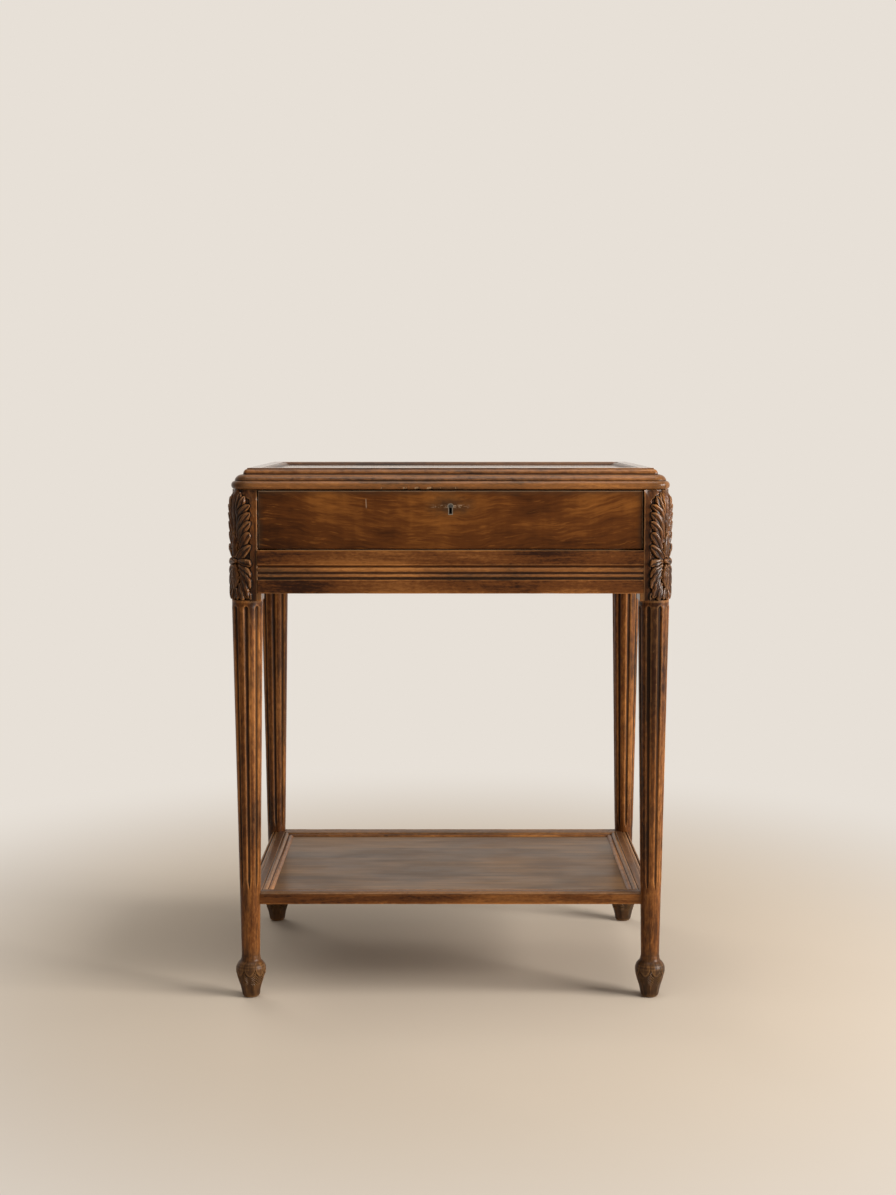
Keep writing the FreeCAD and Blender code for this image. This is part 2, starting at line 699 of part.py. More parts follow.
# Each leaf's open face, the face that beds in the wood, and which way that lies
LEAF_FACES = {"lid": (LID_LOW, f"({LID_LOW} + leaf_thick)", 1),
              "case": ("case_top", "(case_top - leaf_thick)", -1)}
LEAF_IN_Y = f"({HINGE_Y} - barrel_r - leaf_wide)"


def leaf_beds(name, low, high):
    """The shallow beds that the hinge leaves lie in."""
    return [board(f"{name}_bed_{side}", (f"{side} * hinge_x - hinge_half", f"{side} * hinge_x + hinge_half"),
                  (LEAF_IN_Y, f"{HINGE_Y} + overrun"), (low, high)) for side in (-1, 1)]


def leaf_screw_places(sides=(-1, 1)):
    """Three screws to each hinge leaf, in a line."""
    return [(f"{side} * hinge_x + {step} * hinge_half * 2 / 3", f"{LEAF_IN_Y} + leaf_wide / 2")
            for side in sides for step in (-1, 0, 1)]


def screw_holes(name, face, way):
    """Holes for the leaf screws, from a bed's face up into the lid or down into the apron."""
    return [rod(f"{name}_screw_hole_{number}", "screw_r", "screw_long", (x, y, face), (0, 0, way))
            for number, (x, y) in enumerate(leaf_screw_places())]


def screws(name, face, way):
    """Countersunk screws whose heads lie flush in the leaves."""
    made = []
    for number, (x, y) in enumerate(leaf_screw_places()):
        shank = rod(f"{name}_shank_{number}", "screw_r", "screw_long", (x, y, face), (0, 0, way))
        head = rod(f"{name}_head_{number}", "screw_r", "leaf_thick",
                   (x, y, f"{face} - {way} * leaf_thick"), (0, 0, way), low_radius="screw_head_r")
        made.append(joined(f"{name}_{number}", [shank, head]))
    return made


def hinges():
    """Two butt hinges: a leaf on the lid with the outer knuckles, a leaf on the back apron with
    the middle one, and a loose pin."""
    pins = []
    leaves = {"lid": [], "case": []}
    third = "(hinge_half * 2 / 3)"
    plate_end = f"{HINGE_Y} - barrel_r - knuckle_gap"
    for side, word in ((-1, "left"), (1, "right")):
        low = f"({side} * hinge_x - hinge_half)"
        high = f"({side} * hinge_x + hinge_half)"
        middle = ((f"{low} + {third}", f"{high} - {third}"),)
        outer = ((low, f"{low} + {third} - knuckle_gap"), (f"{high} - {third} + knuckle_gap", high))
        for role, knuckles in (("lid", outer), ("case", middle)):
            name = f"{word}_{role}_leaf"
            near, face, way = LEAF_FACES[role]
            heights = (near, face) if way > 0 else (face, near)
            parts = [board(name + "_plate", (low, high), (LEAF_IN_Y, plate_end), heights)]
            for number, (start, end) in enumerate(knuckles):
                parts.append(board(f"{name}_tongue_{number}", (start, end),
                                   (f"{plate_end} - overrun", HINGE_Y), heights))
                parts.append(rod(f"{name}_knuckle_{number}", "barrel_r", f"({end}) - ({start})",
                                 (start, HINGE_Y, HINGE_Z), (1, 0, 0)))
            holes = [rod(f"{name}_bore", "pin_r + pin_play", "2 * (hinge_half + overrun)",
                         (f"{low} - overrun", HINGE_Y, HINGE_Z), (1, 0, 0))]
            for number, (x, y) in enumerate(leaf_screw_places((side,))):
                holes.append(rod(f"{name}_screw_{number}", "screw_r", "leaf_thick", (x, y, near),
                                 (0, 0, way), low_radius="screw_head_r"))
            leaves[role].append(cut(name, joined(name + "_solid", parts), holes))
        pins.append(rod(f"{word}_hinge_pin", "pin_r", "2 * hinge_half",
                        (low, HINGE_Y, HINGE_Z), (1, 0, 0)))
    keep("hinge_pins", group("hinge_pins", pins))
    for role, (_, face, way) in LEAF_FACES.items():
        keep(f"{role}_hinge_leaves", group(f"{role}_hinge_leaves", leaves[role]))
        keep(f"{role}_hinge_screws",
             group(f"{role}_hinge_screws", screws(f"{role}_hinge_screw", face, way)))


BOLT_Y = f"({REBATE_Y} + stop_gap + bolt_back)"
KEEP_HALF = "(bolt_half + plate_over)"


def lid():
    """The lid's frame, its panel, the mirror held by four beads, and the lock's keep."""
    bed_y = span(-1, f"{BOLT_Y} - bolt_thick / 2 - plate_over / 2",
                 f"{BOLT_Y} + bolt_thick / 2 + plate_over / 2")
    keep_bed = board("lid_keep_bed", (f"-{KEEP_HALF}", KEEP_HALF), bed_y,
                     (f"{LID_LOW} - overrun", f"{LID_LOW} + plate_thick"))
    slot_x = ("-(bolt_half + 2 * bolt_play)", "bolt_half + 2 * bolt_play")
    slot_y = span(-1, f"{BOLT_Y} - bolt_thick / 2 - bolt_play",
                  f"{BOLT_Y} + bolt_thick / 2 + bolt_play")
    slot_z = (f"{LID_LOW} - overrun", f"{LID_LOW} + bolt_throw + overrun")
    pocket = board("lid_keep_mortise", slot_x, slot_y, slot_z)
    for side, angle, reach, depth in (("front", 0, "lid_half_x", "lid_half_y"),
                                      ("right", QUARTER_TURN, "lid_half_y", "lid_half_x"),
                                      ("back", HALF_TURN, "lid_half_x", "lid_half_y"),
                                      ("left", -QUARTER_TURN, "lid_half_y", "lid_half_x")):
        name = f"lid_{side}_rail"
        bar = lid_rail(name, angle, reach, depth)
        if side == "front":
            bar = cut(name, bar, [keep_bed, pocket])
        if side == "back":
            bar = cut(name, bar, leaf_beds(name, f"{LID_LOW} - overrun", f"{LID_LOW} + leaf_thick")
                      + screw_holes(name, f"({LID_LOW} + leaf_thick)", 1))
        keep(name, bar)
        low = f"({LID_TOP} - panel_drop - panel_thick - mirror_thick)"
        bead_depth = f"({depth} - lid_bar)"
        bead_in = f"-({bead_depth} - mirror_bead)"
        keep(f"mirror_{side}_bead", mitred_rail(
            f"mirror_{side}_bead", angle, f"({reach} - lid_bar)", bead_depth, "mirror_bead",
            [(bead_in, low), (bead_in, f"{low} - mirror_bead / 3", -MIRROR_BEAD_BULGE_SHARE),
             (f"-{bead_depth}", f"{low} - mirror_bead"), (f"-{bead_depth}", low)]))
    half_x = "(lid_half_x - lid_bar + panel_tongue)"
    half_y = "(lid_half_y - lid_bar + panel_tongue)"
    top = f"({LID_TOP} - panel_drop)"
    keep("lid_panel", board("lid_panel", (f"-{half_x}", half_x), (f"-{half_y}", half_y),
                            (f"{top} - panel_thick", top)))
    glass_x = "(lid_half_x - lid_bar - mirror_play)"
    glass_y = "(lid_half_y - lid_bar - mirror_play)"
    keep("mirror_glass", board("mirror_glass", (f"-{glass_x}", glass_x), (f"-{glass_y}", glass_y),
                               (f"{top} - panel_thick - mirror_thick", f"{top} - panel_thick")))
    plate = board("lid_keep_blank", (f"-{KEEP_HALF}", KEEP_HALF), bed_y,
                  (LID_LOW, f"{LID_LOW} + plate_thick"))
    keep("lid_keep_plate", cut("lid_keep_plate", plate, [board("lid_keep_slot", slot_x, slot_y, slot_z)]))


# Drawer

FRONT_HALF = f"({REBATE_X} - front_side_gap)"
FRONT_FACE = f"({BLOCK_OUT_Y} - field_back)"
FRONT_BACK = f"({REBATE_Y} + stop_gap)"
FRONT_LOW = "(belt_top + front_low_gap)"
FRONT_TOP = "(case_top - front_top_gap)"
SIDE_OUT = f"({BLOCK_IN_X} - side_play)"
SIDE_IN = f"({BLOCK_IN_X} - side_play - side_thick)"
SIDE_LOW = "(belt_top + slide_play)"
SIDE_TOP = "(case_top - side_low)"
BOTTOM_LOW = f"({SIDE_LOW} + bottom_up)"
BOTTOM_TOP = f"({BOTTOM_LOW} + bottom_thick)"
BACK_TOP = "(case_top - back_low)"


def tail(number, root, way, low, high, length, play):
    """The four corners of one dovetail, from its root out to its tip, with play all round."""
    share = (number + 0.5) / TAIL_COUNT
    middle = f"({low} + ({high} - ({low})) * {share:.4f})"
    tall = f"({high} - ({low}))"
    tip = f"({root}) + {way} * ({length} + {play})"
    return [(root, f"{middle} - {tall} * {TAIL_ROOT_SHARE} - {play}"),
            (tip, f"{middle} - {tall} * {TAIL_TIP_SHARE} - {play}"),
            (tip, f"{middle} + {tall} * {TAIL_TIP_SHARE} + {play}"),
            (root, f"{middle} + {tall} * {TAIL_ROOT_SHARE} + {play}")]


def tail_sockets(name, root, way, low, high, length):
    """Cutters for the sockets that both sides' dovetails fit."""
    made = []
    for word, side in (("left", -1), ("right", 1)):
        body = doc.addObject("PartDesign::Body", f"{name}_{word}_sockets")
        for number in range(TAIL_COUNT):
            face = sketch_in(body, "YZ_Plane", f"{name}_{word}_socket_{number}")
            points = tail(number, root, way, low, high, length, "tail_play")
            mouth = f"({root}) - {way} * overrun"
            outline(face, [(mouth, points[0][1]), *points, (mouth, points[-1][1])])
            add(body, "Pad", face, f"{name}_{word}_pad_{number}", Length="side_thick + tail_play",
                Reversed=side < 0)
        tie(body, "Placement.Base.x", f"{side} * ({SIDE_IN} - tail_play)")
        made.append(body)
    return made


def drawer_side(word, side):
    """A drawer side with lapped dovetails at the front and through dovetails at the back."""
    name = f"drawer_{word}_side"
    body = doc.addObject("PartDesign::Body", name + "_board")
    face = sketch_in(body, "YZ_Plane", name + "_outline")
    front = f"-{FRONT_BACK}"
    back = "(drawer_back_y - drawer_back_thick)"
    points = [(front, SIDE_LOW), (back, SIDE_LOW), (back, BOTTOM_TOP)]
    for number in range(TAIL_COUNT):
        points += tail(number, back, 1, BOTTOM_TOP, BACK_TOP, "drawer_back_thick", "0")
    points += [(back, SIDE_TOP), (front, SIDE_TOP)]
    for number in reversed(range(TAIL_COUNT)):
        points += reversed(tail(number, front, -1, FRONT_LOW, SIDE_TOP, "tail_long", "0"))
    outline(face, points)
    add(body, "Pad", face, name + "_thick", Length="side_thick", Reversed=side < 0)
    tie(body, "Placement.Base.x", f"{side} * {SIDE_IN}")
    groove = board(name + "_groove", span(side, f"{SIDE_IN} - overrun", f"{SIDE_IN} + bottom_groove"),
                   (f"-({FRONT_BACK} + tail_long + overrun)", "drawer_back_y + overrun"),
                   (BOTTOM_LOW, BOTTOM_TOP))
    keep(name, cut(name, body, [groove]))


def keyhole(name, extra, near, far):
    """A key's outline, round above and straight below, cut along Y between two depths."""
    body = doc.addObject("PartDesign::Body", name)
    face = sketch_in(body, "XZ_Plane", name + "_outline")
    shoulder = f"keyhole_z - sqrt(pow(keyhole_r + {extra}; 2) - pow(keyslot_half + {extra}; 2))"
    half = f"(keyslot_half + {extra})"
    low = f"keyhole_z - keyhole_drop - {extra}"
    outline(face, [(half, low), (half, shoulder), (f"-{half}", shoulder), (f"-{half}", low)])
    add(body, "Pad", face, name + "_slot", Length=f"({far}) - ({near})")
    tie(body, "Placement.Base.y", f"-({near})")
    bow = rod(name + "_bow", f"keyhole_r + {extra}", f"({far}) - ({near})",
              ("0", f"-({near})", "keyhole_z"), (0, -1, 0))
    return joined(name + "_whole", [body, bow])


def lock_screw_places():
    """The four screws of the lock's back plate."""
    return [(f"{side_x} * (lock_half + plate_over / 2)",
             f"{FRONT_TOP} - lock_high / 2 + {side_z} * lock_high / 3")
            for side_x in (-1, 1) for side_z in (-1, 1)]


def drawer():
    """The drawer: lipped front, dovetailed sides and back, and a bottom that slides into grooves."""
    front = doc.addObject("PartDesign::Body", "drawer_front_board")
    face = sketch_in(front, "XZ_Plane", "drawer_front_outline", FRONT_BACK)
    outline(face, [(f"-{FRONT_HALF}", FRONT_LOW), (FRONT_HALF, FRONT_LOW), (FRONT_HALF, FRONT_TOP),
                   (f"-{FRONT_HALF}", FRONT_TOP)])
    pad = add(front, "Pad", face, "drawer_front_thick", Length=f"{FRONT_FACE} - {FRONT_BACK}")
    doc.recompute()
    rounding = front.newObject("PartDesign::Fillet", "drawer_front_arrises")
    edges = [f"Edge{number}" for number, edge in enumerate(pad.Shape.Edges, start=1)
             if max(vertex.Y for vertex in edge.Vertexes) < worth(f"-({FRONT_FACE} - front_arris)")]
    rounding.Base = (pad, edges)
    tie(rounding, "Radius", "front_arris")
    front.Tip = rounding

    cutters = tail_sockets("drawer_front", f"-{FRONT_BACK}", -1, FRONT_LOW, SIDE_TOP, "tail_long")
    cutters.append(board("drawer_front_groove",
                         (f"-({SIDE_IN} + side_thick / 2)", f"{SIDE_IN} + side_thick / 2"),
                         span(-1, f"{FRONT_BACK} - overrun", f"{FRONT_BACK} + bottom_groove"),
                         (BOTTOM_LOW, BOTTOM_TOP)))
    cutters.append(board("drawer_lock_bed", ("-lock_half", "lock_half"),
                         span(-1, f"{FRONT_BACK} - overrun", f"{FRONT_BACK} + lock_deep"),
                         (f"{FRONT_TOP} - lock_high", f"{FRONT_TOP} + overrun")))
    cutters.append(board("drawer_lock_plate_bed", ("-(lock_half + plate_over)", "lock_half + plate_over"),
                         span(-1, f"{FRONT_BACK} - overrun", f"{FRONT_BACK} + plate_thick"),
                         (f"{FRONT_TOP} - lock_high", f"{FRONT_TOP} + overrun")))
    cutters.append(keyhole("drawer_keyhole", "0", f"{FRONT_BACK} - overrun", f"{FRONT_FACE} + overrun"))
    cutters.append(keyhole("drawer_liner_bed", "liner_thick", f"{FRONT_FACE} - liner_deep",
                           f"{FRONT_FACE} + overrun"))
    for number, (x, z) in enumerate(lock_screw_places()):
        cutters.append(rod(f"lock_screw_hole_{number}", "screw_r", "screw_long",
                           (x, f"-({FRONT_BACK} + plate_thick)", z), (0, -1, 0)))
    keep("drawer_front", cut("drawer_front", front, cutters))

    for word, side in (("left", -1), ("right", 1)):
        drawer_side(word, side)
    back = board("drawer_back_board", (f"-{SIDE_OUT}", SIDE_OUT),
                 ("drawer_back_y - drawer_back_thick", "drawer_back_y"), (BOTTOM_TOP, BACK_TOP))
    keep("drawer_back", cut("drawer_back", back, tail_sockets(
        "drawer_back", "(drawer_back_y - drawer_back_thick)", 1, BOTTOM_TOP, BACK_TOP, "drawer_back_thick")))
    half = f"({SIDE_IN} + bottom_groove - bottom_play)"
    keep("drawer_bottom", board("drawer_bottom", (f"-{half}", half),
                                (f"-({FRONT_BACK} + bottom_groove - bottom_play)", "drawer_back_y"),
                                (BOTTOM_LOW, BOTTOM_TOP)))


def lock():
    """The till lock: a cased box with its back plate, the bolt that rises, screws and the liner."""
    box = board("lock_box", ("-lock_half", "lock_half"),
                span(-1, FRONT_BACK, f"{FRONT_BACK} + lock_deep"), (f"{FRONT_TOP} - lock_high", FRONT_TOP))
    plate = board("lock_plate", ("-(lock_half + plate_over)", "lock_half + plate_over"),
                  span(-1, FRONT_BACK, f"{FRONT_BACK} + plate_thick"),
                  (f"{FRONT_TOP} - lock_high", FRONT_TOP))
    way = board("lock_bolt_way", ("-(bolt_half + bolt_play)", "bolt_half + bolt_play"),
                span(-1, f"{BOLT_Y} - bolt_thick / 2 - bolt_play", f"{BOLT_Y} + bolt_thick / 2 + bolt_play"),
                (f"{FRONT_TOP} - bolt_long - bolt_play", f"{FRONT_TOP} + overrun"))
    cutters = [way, keyhole("lock_keyhole", "0", f"{FRONT_BACK} + plate_thick",
                            f"{FRONT_BACK} + lock_deep + overrun")]
    shanks = []
    for number, (x, z) in enumerate(lock_screw_places()):
        cutters.append(rod(f"lock_plate_hole_{number}", "screw_r", "plate_thick",
                           (x, f"-{FRONT_BACK}", z), (0, -1, 0), low_radius="screw_head_r"))
        head = rod(f"lock_screw_head_{number}", "screw_r", "plate_thick",
                   (x, f"-{FRONT_BACK}", z), (0, -1, 0), low_radius="screw_head_r")
        shank = rod(f"lock_screw_shank_{number}", "screw_r", "screw_long",
                    (x, f"-({FRONT_BACK} + plate_thick)", z), (0, -1, 0))
        shanks.append(joined(f"lock_screw_{number}", [head, shank]))
    keep("lock_case", cut("lock_case", joined("lock_solid", [box, plate]), cutters))
    keep("lock_screws", group("lock_screws", shanks))
    keep("lock_bolt", board("lock_bolt", ("-bolt_half", "bolt_half"),
                            span(-1, f"{BOLT_Y} - bolt_thick / 2", f"{BOLT_Y} + bolt_thick / 2"),
                            (f"{FRONT_TOP} - bolt_long", FRONT_TOP)))
    outer = keyhole("keyhole_liner_outer", "liner_thick", f"{FRONT_FACE} - liner_deep", FRONT_FACE)
    inner = keyhole("keyhole_liner_inner", "0", f"{FRONT_FACE} - liner_deep - overrun",
                    f"{FRONT_FACE} + overrun")
    keep("keyhole_liner", cut("keyhole_liner", outer, [inner]))


# Each leg's side in X and Y, the turn of its block, and how far its flutes are turned
LEGS = {
    "front_right_leg": (1, -1, 0, 20), "back_right_leg": (1, 1, QUARTER_TURN, 9),
    "back_left_leg": (-1, 1, HALF_TURN, 0), "front_left_leg": (-1, -1, -QUARTER_TURN, 0),
}
for leg_name, leg_places in LEGS.items():
    leg(leg_name, *leg_places)
case_rails()
slides()
shelf()
lid()
hinges()
drawer()
lock()
doc.recompute()

faults = [thing.Name for thing in doc.Objects if "Invalid" in thing.State or "Error" in thing.State]
faults += [name for name, thing in nodes.items() if thing.Shape.isNull() or not thing.Shape.isValid()]
if faults:
    raise ValueError("failed: " + ", ".join(faults))

os.makedirs("parts", exist_ok=True)
for name, thing in nodes.items():
    thing.Shape.exportStep(f"parts/{name}.step")
print(f"{len(nodes)} nodes, {sum(len(thing.Shape.Solids) for thing in nodes.values())} solids")
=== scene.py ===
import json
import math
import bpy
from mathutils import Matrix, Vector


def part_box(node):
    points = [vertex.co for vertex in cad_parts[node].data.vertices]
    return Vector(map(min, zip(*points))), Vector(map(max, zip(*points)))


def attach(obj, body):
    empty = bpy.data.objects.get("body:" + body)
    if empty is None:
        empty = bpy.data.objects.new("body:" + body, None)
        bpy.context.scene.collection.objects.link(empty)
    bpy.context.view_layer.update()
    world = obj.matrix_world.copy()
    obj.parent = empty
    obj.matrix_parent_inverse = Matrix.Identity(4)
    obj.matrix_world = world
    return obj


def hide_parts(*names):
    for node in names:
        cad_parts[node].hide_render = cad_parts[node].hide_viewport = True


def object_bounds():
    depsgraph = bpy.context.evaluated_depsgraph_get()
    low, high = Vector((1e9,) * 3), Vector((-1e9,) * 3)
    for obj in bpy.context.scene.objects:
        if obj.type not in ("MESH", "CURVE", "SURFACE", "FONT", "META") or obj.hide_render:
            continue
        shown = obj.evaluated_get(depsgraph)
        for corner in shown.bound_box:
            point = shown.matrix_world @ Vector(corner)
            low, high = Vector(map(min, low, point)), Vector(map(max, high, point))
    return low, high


bl_info = {
    "name": "Carved Dressing Table",
    "version": (1, 0, 0),
    "blender": (4, 5, 0),
    "location": "View3D > Sidebar > Dressing Table",
    "description": "A walnut dressing table: carved legs, a drawer, a lift-up lid and a low shelf",
    "category": "Object",
}

import bmesh
import bpy
import numpy as np
from bpy.props import FloatProperty, FloatVectorProperty, IntProperty, PointerProperty
from mathutils import Matrix, Vector, noise

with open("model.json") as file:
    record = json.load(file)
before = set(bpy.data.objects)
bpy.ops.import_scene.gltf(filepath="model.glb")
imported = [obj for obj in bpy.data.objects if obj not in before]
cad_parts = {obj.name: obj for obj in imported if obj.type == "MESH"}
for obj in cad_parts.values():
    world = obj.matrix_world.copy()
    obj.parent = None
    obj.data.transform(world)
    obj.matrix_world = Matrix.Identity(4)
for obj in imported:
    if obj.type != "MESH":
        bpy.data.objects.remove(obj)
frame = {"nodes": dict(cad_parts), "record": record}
CAD_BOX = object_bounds()

MM = 0.001
NEAR = 0.01 * MM
NODES = frame["nodes"]
FEET = {mount["name"]: Vector(mount["pos_m"]) for mount in frame["record"]["mounts"]}

# Places that the frame gives
LEG_X = abs(FEET["front_right_foot"].x)
LEG_Y = abs(FEET["front_right_foot"].y)
BELT_LOW, BELT_TOP = (corner.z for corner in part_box("front_rail"))
CASE_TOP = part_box("right_apron")[1].z
LID_LOW, LID_TOP = (corner.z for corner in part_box("lid_front_rail"))
LID_HALF_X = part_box("lid_right_rail")[1].x
LID_HALF_Y = -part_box("lid_front_rail")[0].y
LID_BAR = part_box("lid_front_rail")[1].y + LID_HALF_Y
SHELF_LOW, SHELF_HIGH = (corner.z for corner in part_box("shelf_front_rail"))
SHELF_HALF_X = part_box("shelf_right_rail")[1].x
SHELF_HALF_Y = -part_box("shelf_front_rail")[0].y
SHELF_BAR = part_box("shelf_front_rail")[1].y + SHELF_HALF_Y
KEYHOLE_HEAD = 4.3 * MM
KEYHOLE_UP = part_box("keyhole_liner")[1].z - KEYHOLE_HEAD

# Sizes of the legs, in metres
BLOCK_LOW = 566.5 * MM
BLOCK_HALF = 21.5 * MM
BLOCK_ARRIS = 0.6 * MM
CORNER_INSET = 7.0 * MM
CORNER_R = BLOCK_HALF + CORNER_INSET
REBATE_WIDE = 5.0 * MM
REBATE_DEEP = 23.0 * MM
NECK_R = 12.9 * MM
NECK_Z = 60.0 * MM
SHAFT_TOP_R = 21.4 * MM
FLUTE_LOW = 157.0 * MM
FLUTE_TOP = 559.0 * MM
FLUTE_POINT = 14.0 * MM
FLUTE_ROUND = 4.0 * MM
FLUTES = 8

# The foot's turned outline in millimetres: height and radius
FOOT_OUTLINE = (
    (0.0, 8.6), (0.7, 10.4), (2.2, 11.9), (5.0, 12.8), (9.0, 13.3), (16.0, 14.9), (24.0, 17.2),
    (32.0, 19.5), (38.0, 20.3), (43.0, 20.2), (47.0, 18.9), (50.0, 16.8), (52.5, 15.0),
    (55.5, 13.8), (60.0, 13.1),
)

# Sizes of the moulded bars, in metres
LID_EDGE = 22.5 * MM
LID_BEAD = 11.0 * MM
BELT_PROUD = 1.5 * MM
BELT_DEEP = 3.0 * MM
PANEL_PLAY = 0.5 * MM

# Outlines as shares of the bars that carry them: place, height and the swell of the next edge
BELT_SHARES = (
    (0.2, 0.0, 0.0), (0.2, 0.317, 0.0), (0.9, 0.32, 0.0), (0.9, 0.375, 0.4), (0.9, 0.445, 0.0),
    (1.0, 0.45, 0.0), (1.0, 0.49, 0.33), (1.0, 0.607, 0.0), (1.0, 0.62, 0.0), (0.3, 0.655, 0.0),
    (0.0, 0.665, 0.0), (0.0, 1.0, 0.0),
)
LID_EDGE_SHARES = (
    (0.86, 0.0, 0.32), (0.82, 0.385, 0.0), (0.765, 0.4, 0.0), (0.78, 0.44, 0.16), (0.33, 0.69, 0.0),
    (0.26, 0.71, 0.2), (0.02, 0.945, 0.0), (0.0, 1.0, 0.0),
)
LID_BEAD_SHARES = (
    (0.0, 0.0, 0.0), (0.0, 0.22, 0.0), (0.08, 0.22, 0.2), (0.7, 0.72, 0.0), (0.78, 0.72, 0.0),
    (0.8, 0.82, 0.15),
)
SHELF_SHARES = (
    (0.0, 0.0, 0.0), (0.0, 0.9, 0.25), (0.03, 0.97, 0.0), (0.06, 0.97, 0.0), (0.075, 0.84, 0.0),
    (0.09, 0.84, 0.3), (0.255, 0.86, 0.0), (0.27, 0.98, 0.0), (0.56, 0.98, 0.0), (0.565, 0.9, 0.2),
    (0.77, 0.86, 0.0), (0.785, 0.78, 0.2),
)

# The carved leaves of one corner, in millimetres: across from the corner's middle line, and up
# from the block's foot. Each lobe has its half width, its height and the line it follows from
# root to tip. A lobe off the middle line is carved on both sides of it.
LOBES = (
    # the middle rib and the strands beside it at the leaf's tip
    ("rib", 5.4, 4.2, (0, 94), (0, 112), (0, 132), (0, 152)),
    ("feather", 3.6, 4.9, (4.4, 104), (5.4, 122), (6.6, 136), (9.0, 151)),
    ("feather", 4.2, 5.0, (4.8, 98), (6.2, 118), (9.2, 133), (15.2, 145)),
    # feathers that run up beside the rib and sweep out, each over the root of the one above
    ("feather", 4.9, 5.0, (5.0, 90), (6.0, 112), (10.4, 127), (21.8, 133.5)),
    ("feather", 6.0, 5.0, (5.6, 82), (7.2, 102), (11.9, 117), (22.8, 121.5)),
    ("feather", 5.6, 4.7, (8.4, 73), (9.4, 92), (13.4, 105), (22.8, 108.5)),
    ("feather", 5.4, 4.1, (9.0, 66), (11.0, 78), (14.9, 89), (22.8, 94.0)),
    ("feather", 5.4, 4.5, (3.6, 57), (9.5, 60), (14.0, 70), (22.8, 77.5)),
    # the bud on the middle line, with a small leaf on each side
    ("bud", 6.4, 4.5, (0, 58), (0, 70), (0, 82), (0, 94.0)),
    ("blade", 2.3, 4.6, (1.6, 58), (5.2, 61), (8.2, 66), (10.4, 71.5)),
    # the lower leaf
    ("lens", 6.4, 4.1, (0, 50.5), (0, 42), (0, 28), (0, 14.0)),
    ("feather", 5.4, 4.2, (4.2, 54.0), (10.0, 56), (16.0, 54), (23.0, 48.5)),
    ("feather", 5.4, 4.2, (5.6, 49), (11.0, 47), (16.0, 42), (22.4, 33.0)),
    ("feather", 5.6, 4.3, (7.4, 44), (12.0, 40), (16.5, 31), (21.6, 18.0)),
    ("feather", 4.9, 4.0, (8.0, 34), (11.6, 28), (15.8, 18), (18.6, 4.0)),
    ("feather", 4.5, 4.0, (6.6, 24), (8.6, 17), (10.6, 10), (11.2, 1.0)),
    ("feather", 3.0, 3.0, (19.0, 15), (20.6, 11), (21.6, 7), (22.2, 1.5)),
    ("blade", 3.9, 3.8, (1.6, 18), (3.2, 13), (3.9, 8), (3.9, 1.0)),
)
BOSS_UP = 55.5
BOSS_HALF = 4.0
LEAF_HALF = 22.38
LEAF_OVER = 1.8
LEAF_TURN = 1.8

# Chips along the lid's lower front edge, where hands lift it: place, half length and depth
LID_CHIPS = ((-95, 0.7, 1.2), (-64, 1.7, 1.0), (-60.5, 0.8, 1.7), (-47, 2.9, 1.3), (-44, 1.3, 2.0),
             (-28.5, 4.4, 1.2), (-26, 1.2, 2.0), (-14, 0.8, 0.9), (7, 0.7, 0.7))
CHIP_REACH = 4.0 * MM

# How far a vertex lies from the softened shape where it counts as wholly hollow or proud
LEG_HOLLOW = 0.45 * MM
BAR_HOLLOW = 0.35 * MM

# Seeds of the wear on the case rails, the lid's bars and the shelf's bars. The grain's are higher.
RAIL_SEED, LID_SEED, SHELF_SEED = 20, 40, 60
GRAIN_SEED = 10

# What the colours of the settings share
COLOUR = {"subtype": "COLOR", "size": 3, "min": 0, "max": 1}


class TableLegs(bpy.types.PropertyGroup):
    """How finely and how deeply the legs are carved."""

    columns: IntProperty(name="Carving columns", description="Places across a carved corner",
                         default=96, min=24, max=160)
    levels: IntProperty(name="Carving levels", description="Places up a carved corner",
                        default=300, min=80, max=480)
    sides: IntProperty(name="Shaft sides", description="Places round a shaft, for each flute",
                       default=18, min=8, max=32)
    relief: FloatProperty(name="Relief", description="How far the leaves stand out of the ground",
                          default=0.94, min=0.2, max=1.5)
    ground: FloatProperty(name="Ground depth", description="Depth of the ground between the leaves",
                          default=1.7 * MM, min=0.0, max=4 * MM, unit="LENGTH")
    flute_deep: FloatProperty(name="Flute depth", description="Depth of a flute at the shaft's top",
                              default=2.3 * MM, min=0.5 * MM, max=6 * MM, unit="LENGTH")
    flute_half: FloatProperty(name="Flute half width", description="Half a flute's width",
                              default=3.1 * MM, min=1 * MM, max=5 * MM, unit="LENGTH")
    reed_crown: FloatProperty(name="Reed crown", description="How far a reed swells between flutes",
                              default=0.5 * MM, min=0.0, max=2 * MM, unit="LENGTH")


class TableBars(bpy.types.PropertyGroup):
    """How the moulded bars are softened and worn."""

    arris: FloatProperty(name="Arris", description="Width that the sharp edges are softened by",
                         default=0.5 * MM, min=0.05 * MM, max=2 * MM, unit="LENGTH")
    wear: FloatProperty(name="Wear", description="How unevenly the edges are worn",
                        default=0.22 * MM, min=0.0, max=1 * MM, unit="LENGTH")
    joint: FloatProperty(name="Joint line", description="Width left open at each mitre",
                         default=0.1 * MM, min=0.0, max=1 * MM, unit="LENGTH")
    step: FloatProperty(name="Step", description="Length between two stations of a bar",
                        default=7 * MM, min=2 * MM, max=50 * MM, unit="LENGTH")


